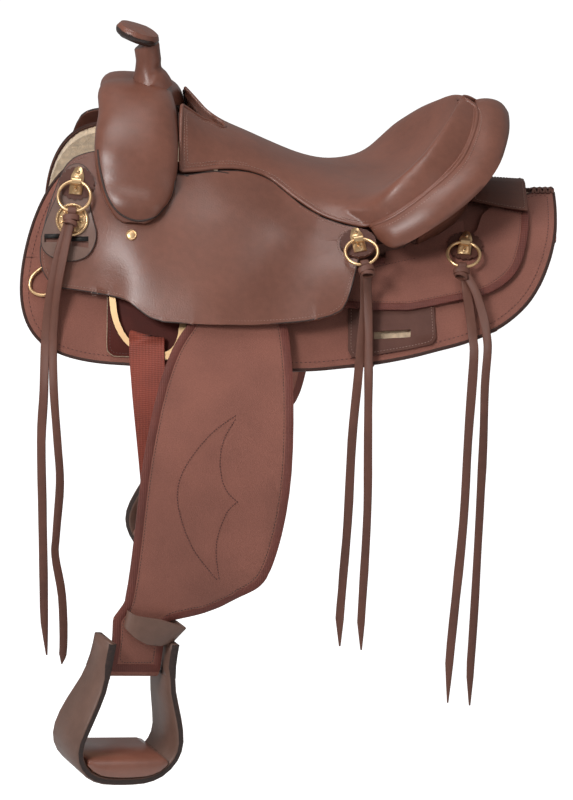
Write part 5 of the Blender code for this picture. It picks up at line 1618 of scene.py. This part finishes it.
def add_fenders():
    for side, side_name in SIDES.items():
        out = OUT[side]
        fender = f"fender_{side}"
        body = f"{side_name}_fender"
        dress(fender, "cloth", "woven_panel", body, bevel=0.0006, hanging=True)
        binding(f"{side_name}_fender_binding", fender, "binding", body, "woven_panel", 0.0098,
                0.0009, 0.0045, out)
        row = inset_rim(rim(fender, out), 0.0120, fender)
        stitches(f"{side_name}_fender_stitches", [row], "black", body, "woven_panel",
                 closed=True)
        dress(f"stirrup_bolt_{side}", "steel", "bolt_steel", body, sharp=40)
    strap = dress("hobble_strap_L", "keeper", "smooth_leather", "near_fender", sharp=50,
                  bevel=0.0006, shape=gathered)
    far_strap = twin(strap, "hobble_strap_R_skin", "far_fender", far_turn())
    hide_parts("hobble_strap_R")
    lines = [drawn(points, ["fender_L"], 0.0038) for points in (MOTIF_OUTER, MOTIF_UPPER,
                                                                MOTIF_LOWER)]
    motif = stitches("near_fender_motif", lines, "lace", "near_fender", "woven_panel",
                     pitch=0.0038, length=0.0028, radius=0.0008)
    both(motif, far_turn())


STIRRUP_AXIS = Vector((-0.4977, 0.8673, 0.0))


def add_stirrups():
    for side, side_name in SIDES.items():
        body = f"{side_name}_stirrup"
        stirrup = f"stirrup_{side}"
        skin = dress(stirrup, "keeper", "smooth_leather", body, sharp=40)
        facing = STIRRUP_AXIS if side == "L" else MIRROR @ STIRRUP_AXIS
        for number, (low, high) in enumerate(((-1.01, -0.80), (0.80, 1.01))):
            facing_part(f"{side_name}_stirrup_edge_{number}", skin, facing, low, high, "edge",
                        body, "smooth_leather")
        # The tread finish is leather lightened for a painted reflection on its top.
        dress(f"stirrup_tread_{side}", "tread", "smooth_leather", body, sharp=50, bevel=0.0030)


class SADDLE_OT_stage(bpy.types.Operator):
    """Floor, soft lamps and the camera"""

    bl_idname = "saddle.stage"
    bl_label = "Stage"

    def execute(self, context):
        add_stage()
        return {"FINISHED"}


class SADDLE_OT_finishes(bpy.types.Operator):
    """Leathers, cloths, metals and threads"""

    bl_idname = "saddle.finishes"
    bl_label = "Finishes"

    def execute(self, context):
        make_finishes()
        return {"FINISHED"}


class SADDLE_OT_strings(bpy.types.Operator):
    """Saddle strings with their knots"""

    bl_idname = "saddle.strings"
    bl_label = "Saddle strings"

    def execute(self, context):
        add_strings()
        return {"FINISHED"}


class SADDLE_OT_seat(bpy.types.Operator):
    """Padded seat, cantle roll and cantle back"""

    bl_idname = "saddle.seat"
    bl_label = "Seat"

    def execute(self, context):
        add_seat()
        add_roll()
        return {"FINISHED"}


class SADDLE_OT_fork(bpy.types.Operator):
    """Swell cover and horn"""

    bl_idname = "saddle.fork"
    bl_label = "Swell and horn"

    def execute(self, context):
        add_swell()
        add_piping()
        tree = NODES["tree"].data
        tree.materials.clear()
        tree.materials.append(finish_named("tree"))
        return {"FINISHED"}


class SADDLE_OT_jockeys(bpy.types.Operator):
    """Side jockeys, rear jockeys and the strip between them"""

    bl_idname = "saddle.jockeys"
    bl_label = "Jockeys"

    def execute(self, context):
        add_jockeys()
        return {"FINISHED"}


class SADDLE_OT_skirts(bpy.types.Operator):
    """Skirts with their fleece and lacing"""

    bl_idname = "saddle.skirts"
    bl_label = "Skirts"

    def execute(self, context):
        add_skirts()
        add_lacing()
        return {"FINISHED"}


class SADDLE_OT_rigging(bpy.types.Operator):
    """Rigging plates, patches, keepers, straps, dees, rings and clips"""

    bl_idname = "saddle.rigging"
    bl_label = "Rigging"

    def execute(self, context):
        add_rigging()
        add_conchos()
        add_clip_details()
        add_stud()
        add_keeper_slot_shade()
        return {"FINISHED"}


class SADDLE_OT_fenders(bpy.types.Operator):
    """Fenders with their binding and sewn ornament"""

    bl_idname = "saddle.fenders"
    bl_label = "Fenders"

    def execute(self, context):
        add_fenders()
        return {"FINISHED"}


class SADDLE_OT_stirrups(bpy.types.Operator):
    """Stirrups and their treads"""

    bl_idname = "saddle.stirrups"
    bl_label = "Stirrups"

    def execute(self, context):
        add_stirrups()
        return {"FINISHED"}


class SADDLE_PT_panel(bpy.types.Panel):
    """The saddle's pieces and settings"""

    bl_label = "Western trail saddle"
    bl_idname = "SADDLE_PT_panel"
    bl_space_type = "VIEW_3D"
    bl_region_type = "UI"
    bl_category = "Saddle"

    def draw(self, context):
        for group in ("saddle_colours", "saddle_sewing", "saddle_stage"):
            settings = getattr(context.scene, group)
            box = self.layout.box()
            for key in settings.bl_rna.properties.keys():
                if key not in ("name", "rna_type"):
                    box.prop(settings, key)
        for operator in OPERATORS:
            self.layout.operator(operator.bl_idname)


OPERATORS = (SADDLE_OT_finishes, SADDLE_OT_stage, SADDLE_OT_strings, SADDLE_OT_seat,
             SADDLE_OT_fork, SADDLE_OT_jockeys, SADDLE_OT_skirts, SADDLE_OT_rigging,
             SADDLE_OT_fenders, SADDLE_OT_stirrups)
GROUPS = (SaddleColours, SaddleSewing, SaddleStage)


def register():
    for kind in GROUPS + OPERATORS + (SADDLE_PT_panel,):
        bpy.utils.register_class(kind)
    bpy.types.Scene.saddle_colours = PointerProperty(type=SaddleColours)
    bpy.types.Scene.saddle_sewing = PointerProperty(type=SaddleSewing)
    bpy.types.Scene.saddle_stage = PointerProperty(type=SaddleStage)


def unregister():
    del bpy.types.Scene.saddle_stage
    del bpy.types.Scene.saddle_sewing
    del bpy.types.Scene.saddle_colours
    for kind in reversed(GROUPS + OPERATORS + (SADDLE_PT_panel,)):
        bpy.utils.unregister_class(kind)


def main():
    register()
    bpy.ops.saddle.finishes()
    bpy.ops.saddle.stage()
    bpy.ops.saddle.strings()
    bpy.ops.saddle.seat()
    bpy.ops.saddle.fork()
    bpy.ops.saddle.jockeys()
    bpy.ops.saddle.skirts()
    bpy.ops.saddle.rigging()
    bpy.ops.saddle.fenders()
    bpy.ops.saddle.stirrups()


if __name__ == "__main__":
    main()
